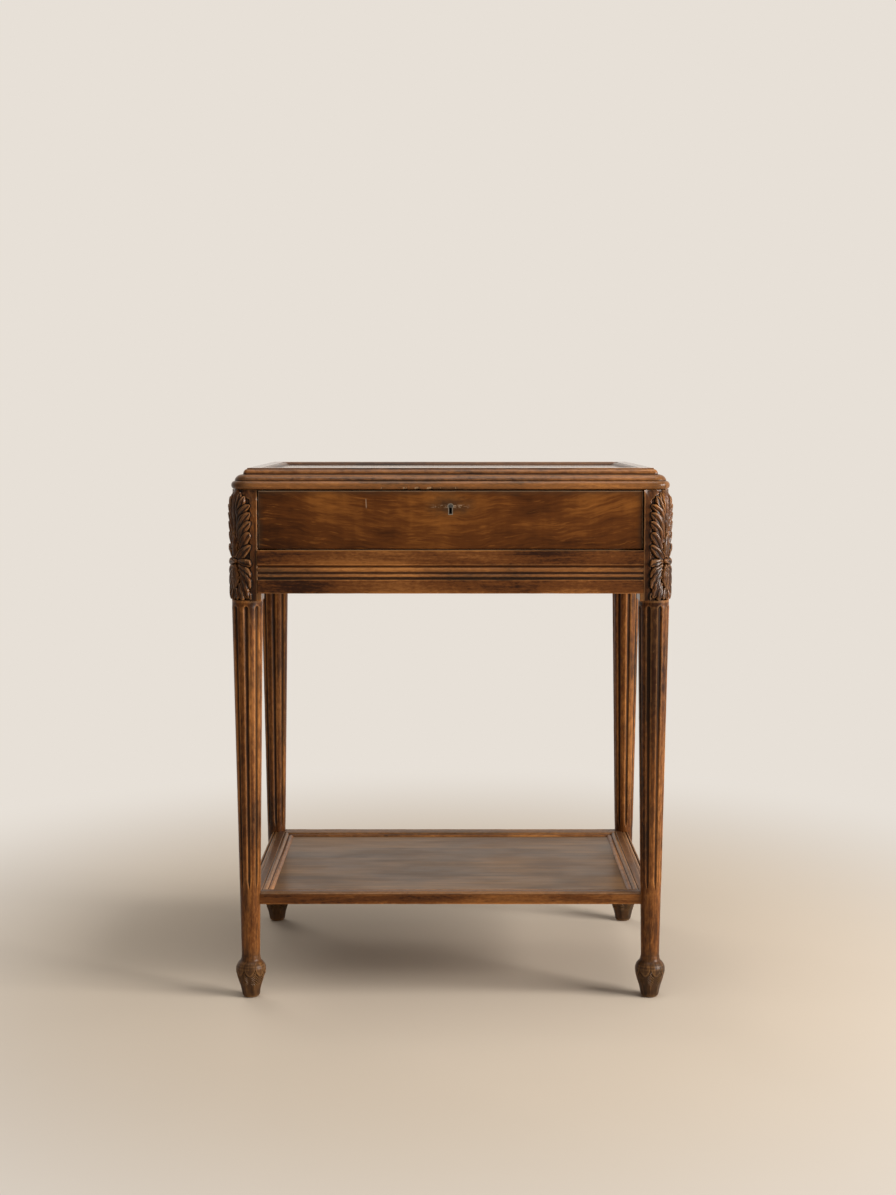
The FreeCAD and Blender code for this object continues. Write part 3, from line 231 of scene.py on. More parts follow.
class TableFinish(bpy.types.PropertyGroup):
    """The colours of the wood and the metal."""

    walnut_dark: FloatVectorProperty(name="Walnut, dark", description="Its dark streaks",
                                     default=(0.026, 0.0075, 0.0022), **COLOUR)
    walnut_mid: FloatVectorProperty(name="Walnut, middle", description="The walnut's main colour",
                                    default=(0.122, 0.0390, 0.0082), **COLOUR)
    walnut_light: FloatVectorProperty(name="Walnut, light", description="Its light streaks",
                                      default=(0.250, 0.093, 0.022), **COLOUR)
    # The worn edge's colour also lightens proud edges, partly as a painted highlight
    worn: FloatVectorProperty(name="Worn edge", description="Bare wood where edges are rubbed",
                              default=(0.34, 0.185, 0.075), **COLOUR)
    # The old wax's colour darkens the hollows of moulded and carved wood, partly as painted shade
    wax_and_shade: FloatVectorProperty(name="Old wax", description="Dark wax in the hollows",
                             default=(0.012, 0.006, 0.003), **COLOUR)
    oak: FloatVectorProperty(name="Oak", description="Bare oak of the hidden wood",
                             default=(0.40, 0.25, 0.13), **COLOUR)
    brass: FloatVectorProperty(name="Brass", description="Aged brass",
                               default=(0.52, 0.36, 0.16), **COLOUR)
    steel: FloatVectorProperty(name="Steel", description="Worn steel",
                               default=(0.38, 0.37, 0.36), **COLOUR)


class TableStage(bpy.types.PropertyGroup):
    """The room's light, its floor and the camera."""

    floor: FloatVectorProperty(name="Floor", description="Colour of the floor",
                               default=(0.62, 0.53, 0.43), **COLOUR)
    air: FloatVectorProperty(name="Backdrop", description="Colour behind the table",
                             default=(0.80, 0.745, 0.68), **COLOUR)
    fill: FloatProperty(name="Fill", description="Strength of the light from all round",
                        default=0.24, min=0, max=3)
    key: FloatProperty(name="Window", description="Power of the large light on the right",
                       default=146.0, min=0, max=500, unit="POWER")
    eye: FloatVectorProperty(name="Camera", description="Where the camera stands", subtype="XYZ",
                             size=3, unit="LENGTH", default=(-0.0035, -2.811, 0.8136))
    tilt: FloatProperty(name="Tilt", description="The camera's turn about X", subtype="ANGLE",
                        default=math.radians(84.649))
    lens: FloatProperty(name="Lens", description="Focal length in millimetres",
                        default=56.49, min=10, max=300)


# Small helpers for modelling


def deselect():
    """Leave nothing selected."""
    for other in bpy.context.selected_objects:
        other.select_set(False)


def start(primitive, **settings):
    """Add a primitive with nothing else selected, and return it."""
    deselect()
    primitive(**settings)
    return bpy.context.active_object


def take(piece):
    """Select one piece alone and make it the active one."""
    deselect()
    piece.select_set(True)
    bpy.context.view_layer.objects.active = piece
    return piece


def edit(piece):
    """Go into edit mode on one piece."""
    take(piece)
    bpy.ops.object.mode_set(mode="EDIT")


def done(outwards=False):
    """Leave edit mode, with vertices to be selected the next time, and with every face turned
    outwards where asked."""
    bpy.ops.mesh.select_mode(type="VERT")
    if outwards:
        bpy.ops.mesh.select_all(action="SELECT")
        bpy.ops.mesh.normals_make_consistent(inside=False)
    bpy.ops.object.mode_set(mode="OBJECT")


def drawn_line(points):
    """Draw an open line by extruding one vertex from each place to the next."""
    line = start(bpy.ops.mesh.primitive_plane_add, size=MM)
    bpy.ops.object.mode_set(mode="EDIT")
    bpy.ops.mesh.merge(type="CENTER")
    bpy.ops.transform.translate(value=points[0])
    for before, after in zip(points, points[1:]):
        bpy.ops.mesh.extrude_vertices_move(TRANSFORM_OT_translate={"value": after - before})
    done()
    return line


def places(piece):
    """A piece's vertices as rows of x, y and z."""
    found = np.empty(len(piece.data.vertices) * 3)
    piece.data.vertices.foreach_get("co", found)
    return found.reshape(-1, 3)


def move_to(piece, spots):
    """Move a piece's vertices to new places."""
    piece.data.vertices.foreach_set("co", spots.ravel())
    piece.data.update()


def select_edges(piece, test):
    """Go into edit mode on a piece with only the edges selected that pass a test."""
    edit(piece)
    bpy.ops.mesh.select_mode(type="EDGE")
    bpy.ops.mesh.select_all(action="DESELECT")
    mesh = bmesh.from_edit_mesh(piece.data)
    for edge in mesh.edges:
        edge.select_set(test(edge))
    bmesh.update_edit_mesh(piece.data)


def apply_all(piece):
    """Apply every modifier of a piece."""
    take(piece)
    for modifier in list(piece.modifiers):
        bpy.ops.object.modifier_apply(modifier=modifier.name)


def ease(values, low, high):
    """A smooth step from 0 at low to 1 at high."""
    share = np.clip((values - low) / (high - low), 0.0, 1.0)
    return share * share * (3 - 2 * share)


def ripple(spots, size, seed):
    """Smooth noise from -1 to 1 at each place, with features of about one size."""
    shift = Vector((seed * 3.1, seed * 7.7, seed * 1.3))
    return np.array([noise.noise(Vector(spot) / size + shift) for spot in spots])


def ripples(spots, sizes, seeds):
    """Smooth noise along X, Y and Z at each place, each with its own size and seed."""
    return np.stack([ripple(spots, size, seed) for size, seed in zip(sizes, seeds)], axis=1)


def store(piece, name, values):
    """Keep one number for each vertex under a name that the finish reads."""
    if name in piece.data.attributes:
        piece.data.attributes.remove(piece.data.attributes[name])
    kept = piece.data.attributes.new(name, "FLOAT", "POINT")
    kept.data.foreach_set("value", np.asarray(values, dtype=np.float32))


def note_hollows(piece, reach, across=False):
    """Store how hollow (above 0) or how proud (below 0) each vertex lies, from -1 to 1. For a bar
    along X only its section counts."""
    mesh = piece.data
    spots = places(piece)
    normals = np.empty(len(mesh.vertices) * 3)
    mesh.vertex_normals.foreach_get("vector", normals)
    normals = normals.reshape(-1, 3)
    edges = np.empty(len(mesh.edges) * 2, dtype=np.int64)
    mesh.edges.foreach_get("vertices", edges)
    first, second = edges.reshape(-1, 2).T
    if across:
        level = np.abs(spots[first, 0] - spots[second, 0]) < 0.05 * MM
        first, second = first[level], second[level]
    total = len(spots)
    count = np.bincount(first, minlength=total) + np.bincount(second, minlength=total)
    soft = spots.copy()
    for _ in range(6):
        pulled = soft.copy()
        for axis in range(3):
            pulled[:, axis] += np.bincount(first, weights=soft[second, axis], minlength=total)
            pulled[:, axis] += np.bincount(second, weights=soft[first, axis], minlength=total)
        soft = pulled / (count + 1)[:, None]
    depth = ((soft - spots) * normals).sum(axis=1) / reach
    store(piece, "hollow", np.clip(depth, -1.0, 1.0))


def finish_piece(piece, made, body, node, material):
    """Name a piece for the node that it stands for, shade it, give it its finish and hand it to the
    frame."""
    piece.name = piece.data.name = f"{made}_{node}"
    move_to(piece, np.clip(places(piece), CAD_BOX[0], CAD_BOX[1]))
    take(piece)
    bpy.ops.object.shade_smooth_by_angle(angle=math.radians(35.0))
    piece.data.materials.clear()
    piece.data.materials.append(material)
    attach(piece, body)
    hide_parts(node)


def bowed(points):
    """The outline's points with each swelling edge drawn as an arc of six short edges."""
    made = []
    for (x, y, bulge), (next_x, next_y, _) in zip(points, points[1:] + points[:1]):
        made.append((x, y))
        if not bulge:
            continue
        chord = Vector((next_x - x, next_y - y))
        left = Vector((-chord.y, chord.x))
        half = 2 * math.atan(2 * abs(bulge))
        radius = chord.length / (2 * math.sin(half))
        way = 1 if bulge > 0 else -1
        centre = Vector((x, y)) + chord / 2 - left.normalized() * way * radius * math.cos(half)
        begin = Vector((x, y)) - centre
        for step in range(1, 6):
            turned = Matrix.Rotation(-way * 2 * half * step / 6, 2) @ begin
            made.append((centre.x + turned.x, centre.y + turned.y))
    return made


# Carved legs


def lobe_line(corners, count=36):
    """Places and directions along the curve that a lobe follows."""
    share = np.linspace(0.0, 1.0, count)[:, None]
    a, b, c, d = (np.array(corner, dtype=float) for corner in corners)
    back = 1 - share
    line = a * back ** 3 + 3 * b * share * back ** 2 + 3 * c * share ** 2 * back + d * share ** 3
    way = np.gradient(line, axis=0)
    way /= np.linalg.norm(way, axis=1)[:, None]
    return line, way


def lobe_height(kind, half, high, corners, across, up):
    """How high one lobe stands at each place, and below 0 where it doesn't reach."""
    line, way = lobe_line(corners)
    gap_x = across[:, None] - line[None, :, 0]
    gap_y = up[:, None] - line[None, :, 1]
    near = np.argmin(gap_x ** 2 + gap_y ** 2, axis=1)
    rows = np.arange(len(across))
    gap_x = gap_x[rows, near]
    gap_y = gap_y[rows, near]
    ahead = gap_x * way[near, 0] + gap_y * way[near, 1]
    side = gap_y * way[near, 0] - gap_x * way[near, 1]
    length = np.linalg.norm(np.diff(line, axis=0), axis=1).sum()
    share = np.clip(near / (len(line) - 1) + ahead / length, -0.2, 1.2)
    inside = np.clip(share, 0.0, 1.0)
    tip = np.sqrt(np.clip(1 - (np.clip(inside - 0.72, 0, 1) / 0.28) ** 2, 0, 1))
    if kind == "rib":
        wide = half * (0.5 + 0.5 * ease(inside, 0.0, 0.6))
        crest = 0.75 + 0.25 * ease(inside, 0.0, 0.5)
    elif kind == "bud":
        wide = half * np.sqrt(np.clip(1 - (2 * inside - 0.92) ** 2, 0, 1)) * (1.0 - 0.3 * inside)
        crest = 0.7 + 0.3 * np.sin(math.pi * inside)
    elif kind == "lens":
        wide = half * np.sin(math.pi * np.clip(inside, 0.02, 0.98)) ** 0.85
        crest = 0.75 + 0.25 * np.sin(math.pi * inside)
    elif kind == "blade":
        wide = half * (0.45 + 0.55 * ease(inside, 0.0, 0.5)) * tip
        crest = 0.7 + 0.3 * ease(inside, 0.0, 0.6)
    else:
        wide = half * (0.42 + 0.58 * ease(inside, 0.0, 0.55)) * tip
        crest = 0.45 + 0.55 * ease(inside, 0.05, 0.7) - 0.15 * ease(inside, 0.85, 1.0)
    reach = side / np.maximum(wide, 0.01)
    round_top = np.sqrt(np.clip(1 - np.abs(reach) ** 2.6, 0, 1))
    if kind in ("feather", "blade"):
        groove = 0.34 * np.exp(-((reach + 0.2) / 0.3) ** 2) * ease(inside, 0.0, 0.15)
        body = round_top * (1 + 0.3 * reach) - groove + 0.03 * np.cos(reach * 19)
    elif kind == "lens":
        body = round_top - 0.22 * np.exp(-(reach / 0.12) ** 2) - 0.06 * np.cos(reach * 22)
    elif kind == "bud":
        body = round_top + 0.05 * np.sin(across * 4.6) * np.sin(up * 4.6)
    else:
        body = round_top + 0.045 * np.cos(reach * 17)
    height = high * crest * body
    outside = (np.abs(reach) >= 1) | (share < -0.02) | (share > 1.02) | (wide < 0.05)
    return np.where(outside, -9.0, height)


def leaf_relief(across, up, ground):
    """The carved corner's height over its plain round, in millimetres."""
    fade = ease(36.0 - np.abs(across), 0.0, 14.0)
    border = LEAF_HALF + LEAF_OVER - np.abs(across)
    # the leaf's middle line is turned a little from the corner's own towards the side
    wider = np.where(across < LEAF_TURN, LEAF_TURN, -LEAF_TURN)
    across = (across - LEAF_TURN) * LEAF_HALF / (LEAF_HALF + wider)
    inset = np.minimum(border - LEAF_OVER, up + 2.0)
    # no hand carves two lobes alike
    drift = 0.5 * np.sin(up * 0.23 + 1.7) + 0.3 * np.sin(up * 0.61 + across * 0.4)
    up = up + 0.6 * np.sin(across * 0.35 + up * 0.11) + 0.25 * np.sin(across * 1.1 + up * 0.5)
    across = across + drift
    tip_line = 150.5 - 0.62 * np.clip(np.abs(across) - 9.0, 0, 20) - 0.1 * np.abs(across)
    inside = ease(inset, 0.1, 1.4) * ease(tip_line - up, -0.6, 1.0)
    height = -ground * inside
    for kind, half, high, *corners in LOBES:
        in_middle = corners[0][0] == 0 and corners[-1][0] == 0
        for way in (1,) if in_middle else (1, -1):
            made = lobe_height(kind, half, high, corners, across * way, up)
            made = np.where(made > 0, made * ease(border, 0.0, 2.4) ** 0.6, made)
            height = np.maximum(height, made)
    # a ring is cut round the boss
    apart = np.hypot(across, up - BOSS_UP)
    boss = 4.3 * np.sqrt(np.clip(1 - (apart / BOSS_HALF) ** 2, 0, 1)) - 0.9 * np.exp(-apart ** 2)
    ring = np.exp(-((apart - BOSS_HALF - 0.5) / 0.6) ** 2)
    height = np.where(apart < BOSS_HALF, boss, height - 1.6 * ring)
    # the leaf thins out at its top, where the whole block is rounded over under the lid
    top = np.clip((up - 134.0) / 19.0, 0, 1)
    height = np.maximum(height, -2.2) * (1 - 0.55 * top ** 2)
    return height - 4.6 * top ** 2.2 * fade


def leg_outline(columns, rebated):
    """The leg block's outline from above, for the front right leg. The places that carry the leaf
    come first: a short way over the front, round the corner and a short way over the side."""
    over = LEAF_OVER * MM
    flats = 3
    points = [(-CORNER_INSET - over * (1 - step / flats), -BLOCK_HALF) for step in range(flats)]
    for step in range(columns + 1):
        angle = math.radians(90) * step / columns
        points.append((-CORNER_INSET + CORNER_R * math.sin(angle),
                       CORNER_INSET - CORNER_R * math.cos(angle)))
    points += [(BLOCK_HALF, CORNER_INSET + over * step / flats) for step in range(1, flats + 1)]
    arris = BLOCK_ARRIS
    left = -BLOCK_HALF + (REBATE_WIDE if rebated else 0)
    points += [(BLOCK_HALF, y)
               for y in np.linspace(CORNER_INSET + over + MM, BLOCK_HALF - 2 * arris, 8)]
    points += [(BLOCK_HALF, BLOCK_HALF - arris), (BLOCK_HALF - arris, BLOCK_HALF),
               (0.0, BLOCK_HALF), (-BLOCK_HALF + arris, BLOCK_HALF),
               (-BLOCK_HALF, BLOCK_HALF - arris), (-BLOCK_HALF, REBATE_DEEP - BLOCK_HALF)]
    if rebated:
        points.append((left, REBATE_DEEP - BLOCK_HALF))
    points += [(left, -BLOCK_HALF + 2 * arris), (left, -BLOCK_HALF + arris),
               (left + arris, -BLOCK_HALF)]
    points += [(x, -BLOCK_HALF)
               for x in np.linspace(left + 2 * arris, -CORNER_INSET - over - MM, 7)]
    return points


def carved_block(settings, rebated):
    """One leg's block: an upright prism of many levels, its corner moved out to the leaves."""
    outline = leg_outline(settings.columns, rebated)
    block = drawn_line([Vector((x, y, BLOCK_LOW)) for x, y in outline])
    edit(block)
    bpy.ops.mesh.select_all(action="SELECT")
    bpy.ops.mesh.edge_face_add()
    heights = [BLOCK_LOW, BELT_LOW - 0.05 * MM, BELT_LOW, (BELT_LOW + CASE_TOP) / 2, CASE_TOP]
    for low, high in zip(heights, heights[1:]):
        bpy.ops.mesh.extrude_region_move(TRANSFORM_OT_translate={"value": (0, 0, high - low)})
    done()
    # each upright stretch is cut into level rings
    for low, high in zip(heights, heights[1:]):
        cuts = round(settings.levels * (high - low) / (CASE_TOP - BLOCK_LOW)) - 1
        if cuts < 1:
            continue
        select_edges(block, lambda edge: upright_between(edge, low, high))
        bpy.ops.mesh.subdivide(number_cuts=cuts)
        done()
    edit(block)
    done(outwards=True)

    spots = places(block)
    side = np.stack([spots[:, 0] + CORNER_INSET, CORNER_INSET - spots[:, 1]], axis=1)
    reach = np.linalg.norm(side, axis=1)
    angle = np.degrees(np.arctan2(side[:, 0], side[:, 1]))
    on_front = (side[:, 0] < -NEAR) & (side[:, 1] > CORNER_R - NEAR)
    on_side = (side[:, 1] < -NEAR) & (side[:, 0] > CORNER_R - NEAR)
    on_round = (angle > -0.01) & (angle < 90.01) & (np.abs(reach - CORNER_R) < NEAR)
    across = np.radians(angle - 45.0) * CORNER_R / MM
    across = np.where(on_front, -LEAF_HALF + side[:, 0] / MM, across)
    across = np.where(on_side, LEAF_HALF - side[:, 1] / MM, across)
    out = side / reach[:, None]
    out[on_front] = (0, 1)
    out[on_side] = (1, 0)
    carved = on_round | on_front | on_side
    up = (spots[carved, 2] - BLOCK_LOW) / MM
    height = leaf_relief(across[carved], up, settings.ground / MM) * MM * settings.relief
    spots[carved, 0] += out[carved, 0] * height
    spots[carved, 1] -= out[carved, 1] * height
    if rebated:
        # below the rail the block is square: the rebate's edge moves out to the block's own
        low = (spots[:, 2] < BELT_LOW - NEAR) & (spots[:, 0] < -BLOCK_HALF + REBATE_WIDE + MM)
        shut = low & (spots[:, 0] > -BLOCK_HALF + MM)
        shut &= spots[:, 1] < 0.5 * MM + REBATE_DEEP - BLOCK_HALF
        spots[shut, 0] -= REBATE_WIDE
    move_to(block, spots)
    return block


def upright_between(edge, low, high):
    """Whether an edge stands upright from one height to another."""
    ends = sorted(vertex.co.z for vertex in edge.verts)
    return abs(ends[0] - low) < NEAR and abs(ends[1] - high) < NEAR


def shaft_radius(height):
    """The plain shaft's radius at a height."""
    return NECK_R + (height - NECK_Z) * (SHAFT_TOP_R - NECK_R) / (BLOCK_LOW - NECK_Z)


def turned_leg(settings):
    """The plain turned shaft and foot: their outline spun about the upright middle line."""
    low, wide = np.array(FOOT_OUTLINE).T
    # the rings stand closer together at the foot and where the flutes begin and end
    levels = np.concatenate([
        np.arange(0.0, 60.0, 0.8), np.arange(60.0, 150.0, 3.0), np.arange(150.0, 176.0, 1.0),
        np.arange(176.0, 540.0, 8.0), np.arange(540.0, 566.6, 0.9), [BLOCK_LOW / MM + 0.5]])
    on_foot = levels < NECK_Z / MM
    radii = np.where(on_foot, np.interp(levels, low, wide), shaft_radius(levels * MM) / MM)
    points = [Vector((0, 0, 0))]
    points += [Vector((radius * MM, 0, level * MM)) for radius, level in zip(radii, levels)]
    points.append(Vector((0, 0, levels[-1] * MM)))
    shaft = drawn_line(points)
    edit(shaft)
    bpy.ops.mesh.select_all(action="SELECT")
    bpy.ops.mesh.spin(steps=settings.sides * FLUTES, angle=2 * math.pi, center=(0, 0, 0),
                      axis=(0, 0, 1))
    bpy.ops.mesh.select_all(action="SELECT")
    bpy.ops.mesh.remove_doubles(threshold=0.02 * MM)
    done(outwards=True)
    return shaft


def cut_shaft(settings, spots, turn):
    """Flute the shaft and carve the petals and cuts of its foot, the flutes turned by an angle."""
    radius = np.hypot(spots[:, 0], spots[:, 1])
    angle = np.degrees(np.arctan2(spots[:, 1], spots[:, 0])) + 90.0 - turn
    pitch = 360.0 / FLUTES
    off = (angle + pitch / 2) % pitch - pitch / 2
    height = spots[:, 2]
    grow = np.clip(radius / SHAFT_TOP_R, 0, 1)
    side = np.radians(off) * np.maximum(radius, MM)
    # flutes: round grooves, round at the top and pointed at the foot
    run_out = np.sqrt(ease(height, FLUTE_LOW, FLUTE_LOW + FLUTE_POINT))
    rounded = 1 - np.clip((FLUTE_TOP - height) / FLUTE_ROUND, 0, 1)
    run_out = run_out * np.sqrt(1 - rounded ** 2)
    half = settings.flute_half * grow * np.maximum(run_out, 0.02)
    groove = np.clip(1 - (side / (half * 1.15)) ** 2, 0, 1)
    cut = settings.flute_deep * grow * np.sqrt(run_out) * groove
    crown = settings.reed_crown * grow * run_out * np.cos(np.radians(off * 360 / pitch / 2)) ** 2
    on_shaft = (height > FLUTE_LOW - MM) & (height < FLUTE_TOP)
    change = np.where(on_shaft, settings.reed_crown * run_out * grow - cut - crown, 0.0)

    # foot: petals hang over eight flats, with slanting cuts between their tips
    rise = height / MM
    petal = np.abs(off) / (pitch / 2)
    edge = 33.0 + 9.5 * petal ** 2.2
    over = ease(rise - edge, -0.5, 0.6) * (1 - ease(rise, 50.0, 53.5))
    vein = np.exp(-(off / 2.6) ** 2) * 0.14 + np.exp(-((petal - 0.62) / 0.16) ** 2) * 0.10
    seam = np.exp(-((petal - 1.0) / 0.12) ** 2) * 0.35
    foot = over * (0.95 - vein - seam * ease(rise, 38, 44))
    slant = np.sin((side / MM + rise * 0.9) * 2 * math.pi / 3.1)
    hatch = ease(rise, 16, 24) * (1 - ease(rise - edge, -2.2, -0.8)) * ease(petal, 0.22, 0.5)
    foot = foot - hatch * 1.35 * np.clip(slant, -0.3, 1)
    flat = np.cos(np.radians(22.5)) / np.maximum(np.cos(np.radians(off)), 0.9)
    flats = (flat - 1 / ((1 + 1 / math.cos(math.radians(22.5))) / 2)) * 0.7
    foot = foot + radius / MM * flats * ease(rise, 3, 9) * (1 - ease(rise - edge, -4.0, 0.0))
    change = np.where((rise > 1.0) & (rise < 54.0), foot * MM, change)
    moved = spots.copy()
    scale = 1 + change / np.maximum(radius, 0.2 * MM)
    scale = np.where(radius < 0.5 * MM, 1.0, scale)
    moved[:, :2] *= scale[:, None]
    return moved


class DRESSING_TABLE_OT_legs(bpy.types.Operator):
    """Carve the four legs: fluted shafts, cup feet and leafed corner blocks"""

    bl_idname = "dressing_table.legs"
    bl_label = "Carved legs"

    def execute(self, context):
        settings = context.scene.table_legs
        blocks = {"front": carved_block(settings, True), "back": carved_block(settings, False)}
        shaft = turned_leg(settings)
        plain = places(shaft)
        # end, side, the flutes' turn in degrees and the seed of the wobble and the grain
        legs = (("front", "right", 20.0, 1), ("front", "left", 0.0, 2), ("back", "right", 9.0, 3),
                ("back", "left", 0.0, 4))
        for end, side, turn, seed in legs:
            leg = blocks[end].copy()
            leg.data = blocks[end].data.copy()
            post = shaft.copy()
            post.data = shaft.data.copy()
            for part in (leg, post):
                context.collection.objects.link(part)
            move_to(post, cut_shaft(settings, plain, turn))
            mirror = np.array([1 if side == "right" else -1, 1 if end == "front" else -1, 1])
            move_to(leg, places(leg) * mirror)
            if mirror.prod() < 0:
                leg.data.flip_normals()
            take(leg)
            post.select_set(True)
            bpy.ops.object.join()
            note_hollows(leg, LEG_HOLLOW)
            spots = places(leg)
            seeds = range(seed, seed + 3)
            wobble = ripples(spots, (9 * MM,) * 3, seeds)
            wobble += ripples(spots, (2.6 * MM,) * 3, seeds) * 0.4
            foot = FEET[f"{end}_{side}_foot"]
            move_to(leg, spots + wobble * 0.12 * MM + np.array([foot.x, foot.y, 0.0]))
            finish_piece(leg, "carved", "root", f"{end}_{side}_leg",
                         walnut(f"walnut_leg_{seed}", "Z", seed, "leg"))
        for part in (*blocks.values(), shaft):
            bpy.data.objects.remove(part)
        return {"FINISHED"}


# Moulded bars


def stations(half, step, fine=None):
    """Even places along a bar from end to end, closer together in one stretch."""
    count = max(2, round(2 * half / step))
    made = set(np.round(np.linspace(-half, half, count + 1), 6))
    if fine:
        low, high, near = fine
        made = {place for place in made if not low < place < high}
        made |= set(np.round(np.arange(low, high, near), 6))
    return sorted(made)


def moulded_bar(section, along, arris):
    """A bar of one section, drawn across and extruded along X from station to station, with its
    sharp edges softened and its hollows noted."""
    bar = drawn_line([Vector((along[0], y, z)) for y, z in section])
    edit(bar)
    bpy.ops.mesh.select_all(action="SELECT")
    bpy.ops.mesh.edge_face_add()
    for before, after in zip(along, along[1:]):
        bpy.ops.mesh.extrude_region_move(TRANSFORM_OT_translate={"value": (after - before, 0, 0)})
    done(outwards=True)
    soften(bar, arris)
    note_hollows(bar, BAR_HOLLOW, across=True)
    return bar


def soften(bar, width):
    """Round the sharp edges that run along a bar."""
    sharp = math.radians(28.0)
    select_edges(bar, lambda edge: runs_along(edge) and edge.calc_face_angle(0) > sharp)
    bpy.ops.mesh.bevel(offset=width, segments=2, affect="EDGES", clamp_overlap=True)
    done()


def runs_along(edge):
    """Whether an edge runs along X."""
    run = edge.verts[1].co - edge.verts[0].co
    return abs(run.x) > 0.9 * run.length


def turn_about(piece, angle):
    """Turn a piece's mesh about the table's upright middle line, by an angle in degrees."""
    piece.data.transform(Matrix.Rotation(math.radians(angle), 4, "Z"))
    piece.data.update()


def mitre_ends(bar, reach, depth, corner, joint):
    """Pull a bar's end stations in along the diagonals of its frame. Outside the corner's centre
    they turn round it instead."""
    spots = places(bar)
    inset = depth + spots[:, 1]
    straight = reach - np.maximum(inset, corner)
    side = np.sign(spots[:, 0])
    share = np.abs(spots[:, 0]) / reach
    arc_from = (reach - corner) / reach if corner else 1.0
    turned = np.clip((share - arc_from) / max(1 - arc_from, 1e-6), 0, 1) if corner else 0 * share
    spots[:, 0] = side * (np.minimum(share / arc_from, 1.0) * straight)
    if corner:
        spread = np.clip(corner - inset, 0, None)
        angle = turned * math.radians(45)
        rim = inset < corner
        spots[:, 0] = np.where(rim, spots[:, 0] + side * spread * np.sin(angle), spots[:, 0])
        lift = spread * (1 - np.cos(angle))
        spots[:, 1] = np.where(rim, spots[:, 1] + lift, spots[:, 1])
    # a hair's breadth is left open at the joint
    ends = share > 0.999
    spots[ends, 0] -= side[ends] * joint / 2
    move_to(bar, spots)


def weather(piece, seed, amount):
    """Wear the edges a little unevenly."""
    spots = places(piece)
    shift = ripples(spots, (26 * MM, 11 * MM, 17 * MM), (seed, seed + 5, seed + 9))
    move_to(piece, spots + shift * amount * np.array([0.0, 1.0, 0.8]))


def finish_bar(bar, body, node, grain, seed, place):
    """Finish a moulded bar in walnut."""
    seed += GRAIN_SEED
    finish_piece(bar, "moulded", body, node, walnut(f"walnut_bar_{seed}", grain, seed, place))


def panel_groove(node, inner, top):
    """The end of a frame's section, with the groove that holds its panel."""
    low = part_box(node)[0]
    groove = low.y - PANEL_PLAY
    return [(inner, top, 0), (groove, top, 0), (groove, low.z, 0), (inner, low.z, 0)]


def lid_section():
    """The lid bar's outline: edge moulding, flat, inner moulding and the panel's groove."""
    thick = LID_TOP - LID_LOW
    drop = LID_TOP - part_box("lid_panel")[1].z
    inner = LID_BAR - LID_HALF_Y
    points = [(inner, LID_LOW, 0)]
    for out, up, bulge in LID_EDGE_SHARES:
        points.append((-(LID_HALF_Y - LID_EDGE) - LID_EDGE * out, LID_LOW + thick * up, bulge))
    for along, down, bulge in LID_BEAD_SHARES:
        points.append((inner - LID_BEAD * (1 - along), LID_TOP - drop * down, bulge))
    return bowed(points + panel_groove("lid_panel", inner, LID_TOP - drop))


def shelf_section():
    """The shelf bar's outline: rounded edge bead, flat, two inner beads and the panel's groove."""
    thick = (SHELF_HIGH - SHELF_LOW) / 0.98
    inner = SHELF_BAR - SHELF_HALF_Y
    points = [(inner, SHELF_LOW, 0)]
    for along, up, bulge in SHELF_SHARES:
        points.append((-(SHELF_HALF_Y - SHELF_BAR * along), SHELF_LOW + thick * up, bulge))
    return bowed(points + panel_groove("shelf_panel", inner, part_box("shelf_panel")[1].z))


def belt_section(face, back, top):
    """A case rail's outline: the beaded belt, with a plain field over it where the rail is tall."""
    high = BELT_TOP - BELT_LOW
    points = [(-back, BELT_LOW, 0)]
    for share, up, bulge in BELT_SHARES:
        points.append((-(face + BELT_PROUD - BELT_DEEP * share), BELT_LOW + high * up, bulge))
    if top > BELT_TOP:
        points += [(-(face - BELT_DEEP), BELT_TOP, 0), (-(face - BELT_DEEP), top, 0)]
    points.append((-back, top, 0))
    return bowed(points)


def filled(section, behind):
    """The outline with its long straight runs cut short, but not further back than a place."""
    step = 1.2 * MM
    made = []
    for (y, z), (y2, z2) in zip(section, section[1:] + section[:1]):
        run = math.hypot(y2 - y, z2 - z)
        cuts = math.ceil(run / step) if min(y, y2) < behind and run > step else 1
        made += [(y + (y2 - y) * cut / cuts, z + (z2 - z) * cut / cuts) for cut in range(cuts)]
    return made


SIDES = (("front", 0.0), ("right", 90.0), ("back", 180.0), ("left", -90.0))


def frame_bars(section, half_x, half_y, corner, settings, fine=None):
    """Each bar of a mitred frame, still along X, with its side, its turn and its grain."""
    for side, angle in SIDES:
        long = side in ("front", "back")
        reach, depth = (half_x, half_y) if long else (half_y, half_x)
        middle = stations(reach - corner, settings.step, fine if side == "front" else None)
        bend = [reach - corner + corner * step / 10 for step in range(1, 11)] if corner else []
        along = [-place for place in reversed(bend)] + middle + bend
        bar = moulded_bar([(y + half_y - depth, z) for y, z in section], along, settings.arris)
        mitre_ends(bar, reach, depth, corner, settings.joint)
        yield side, angle, "X" if long else "Y", bar


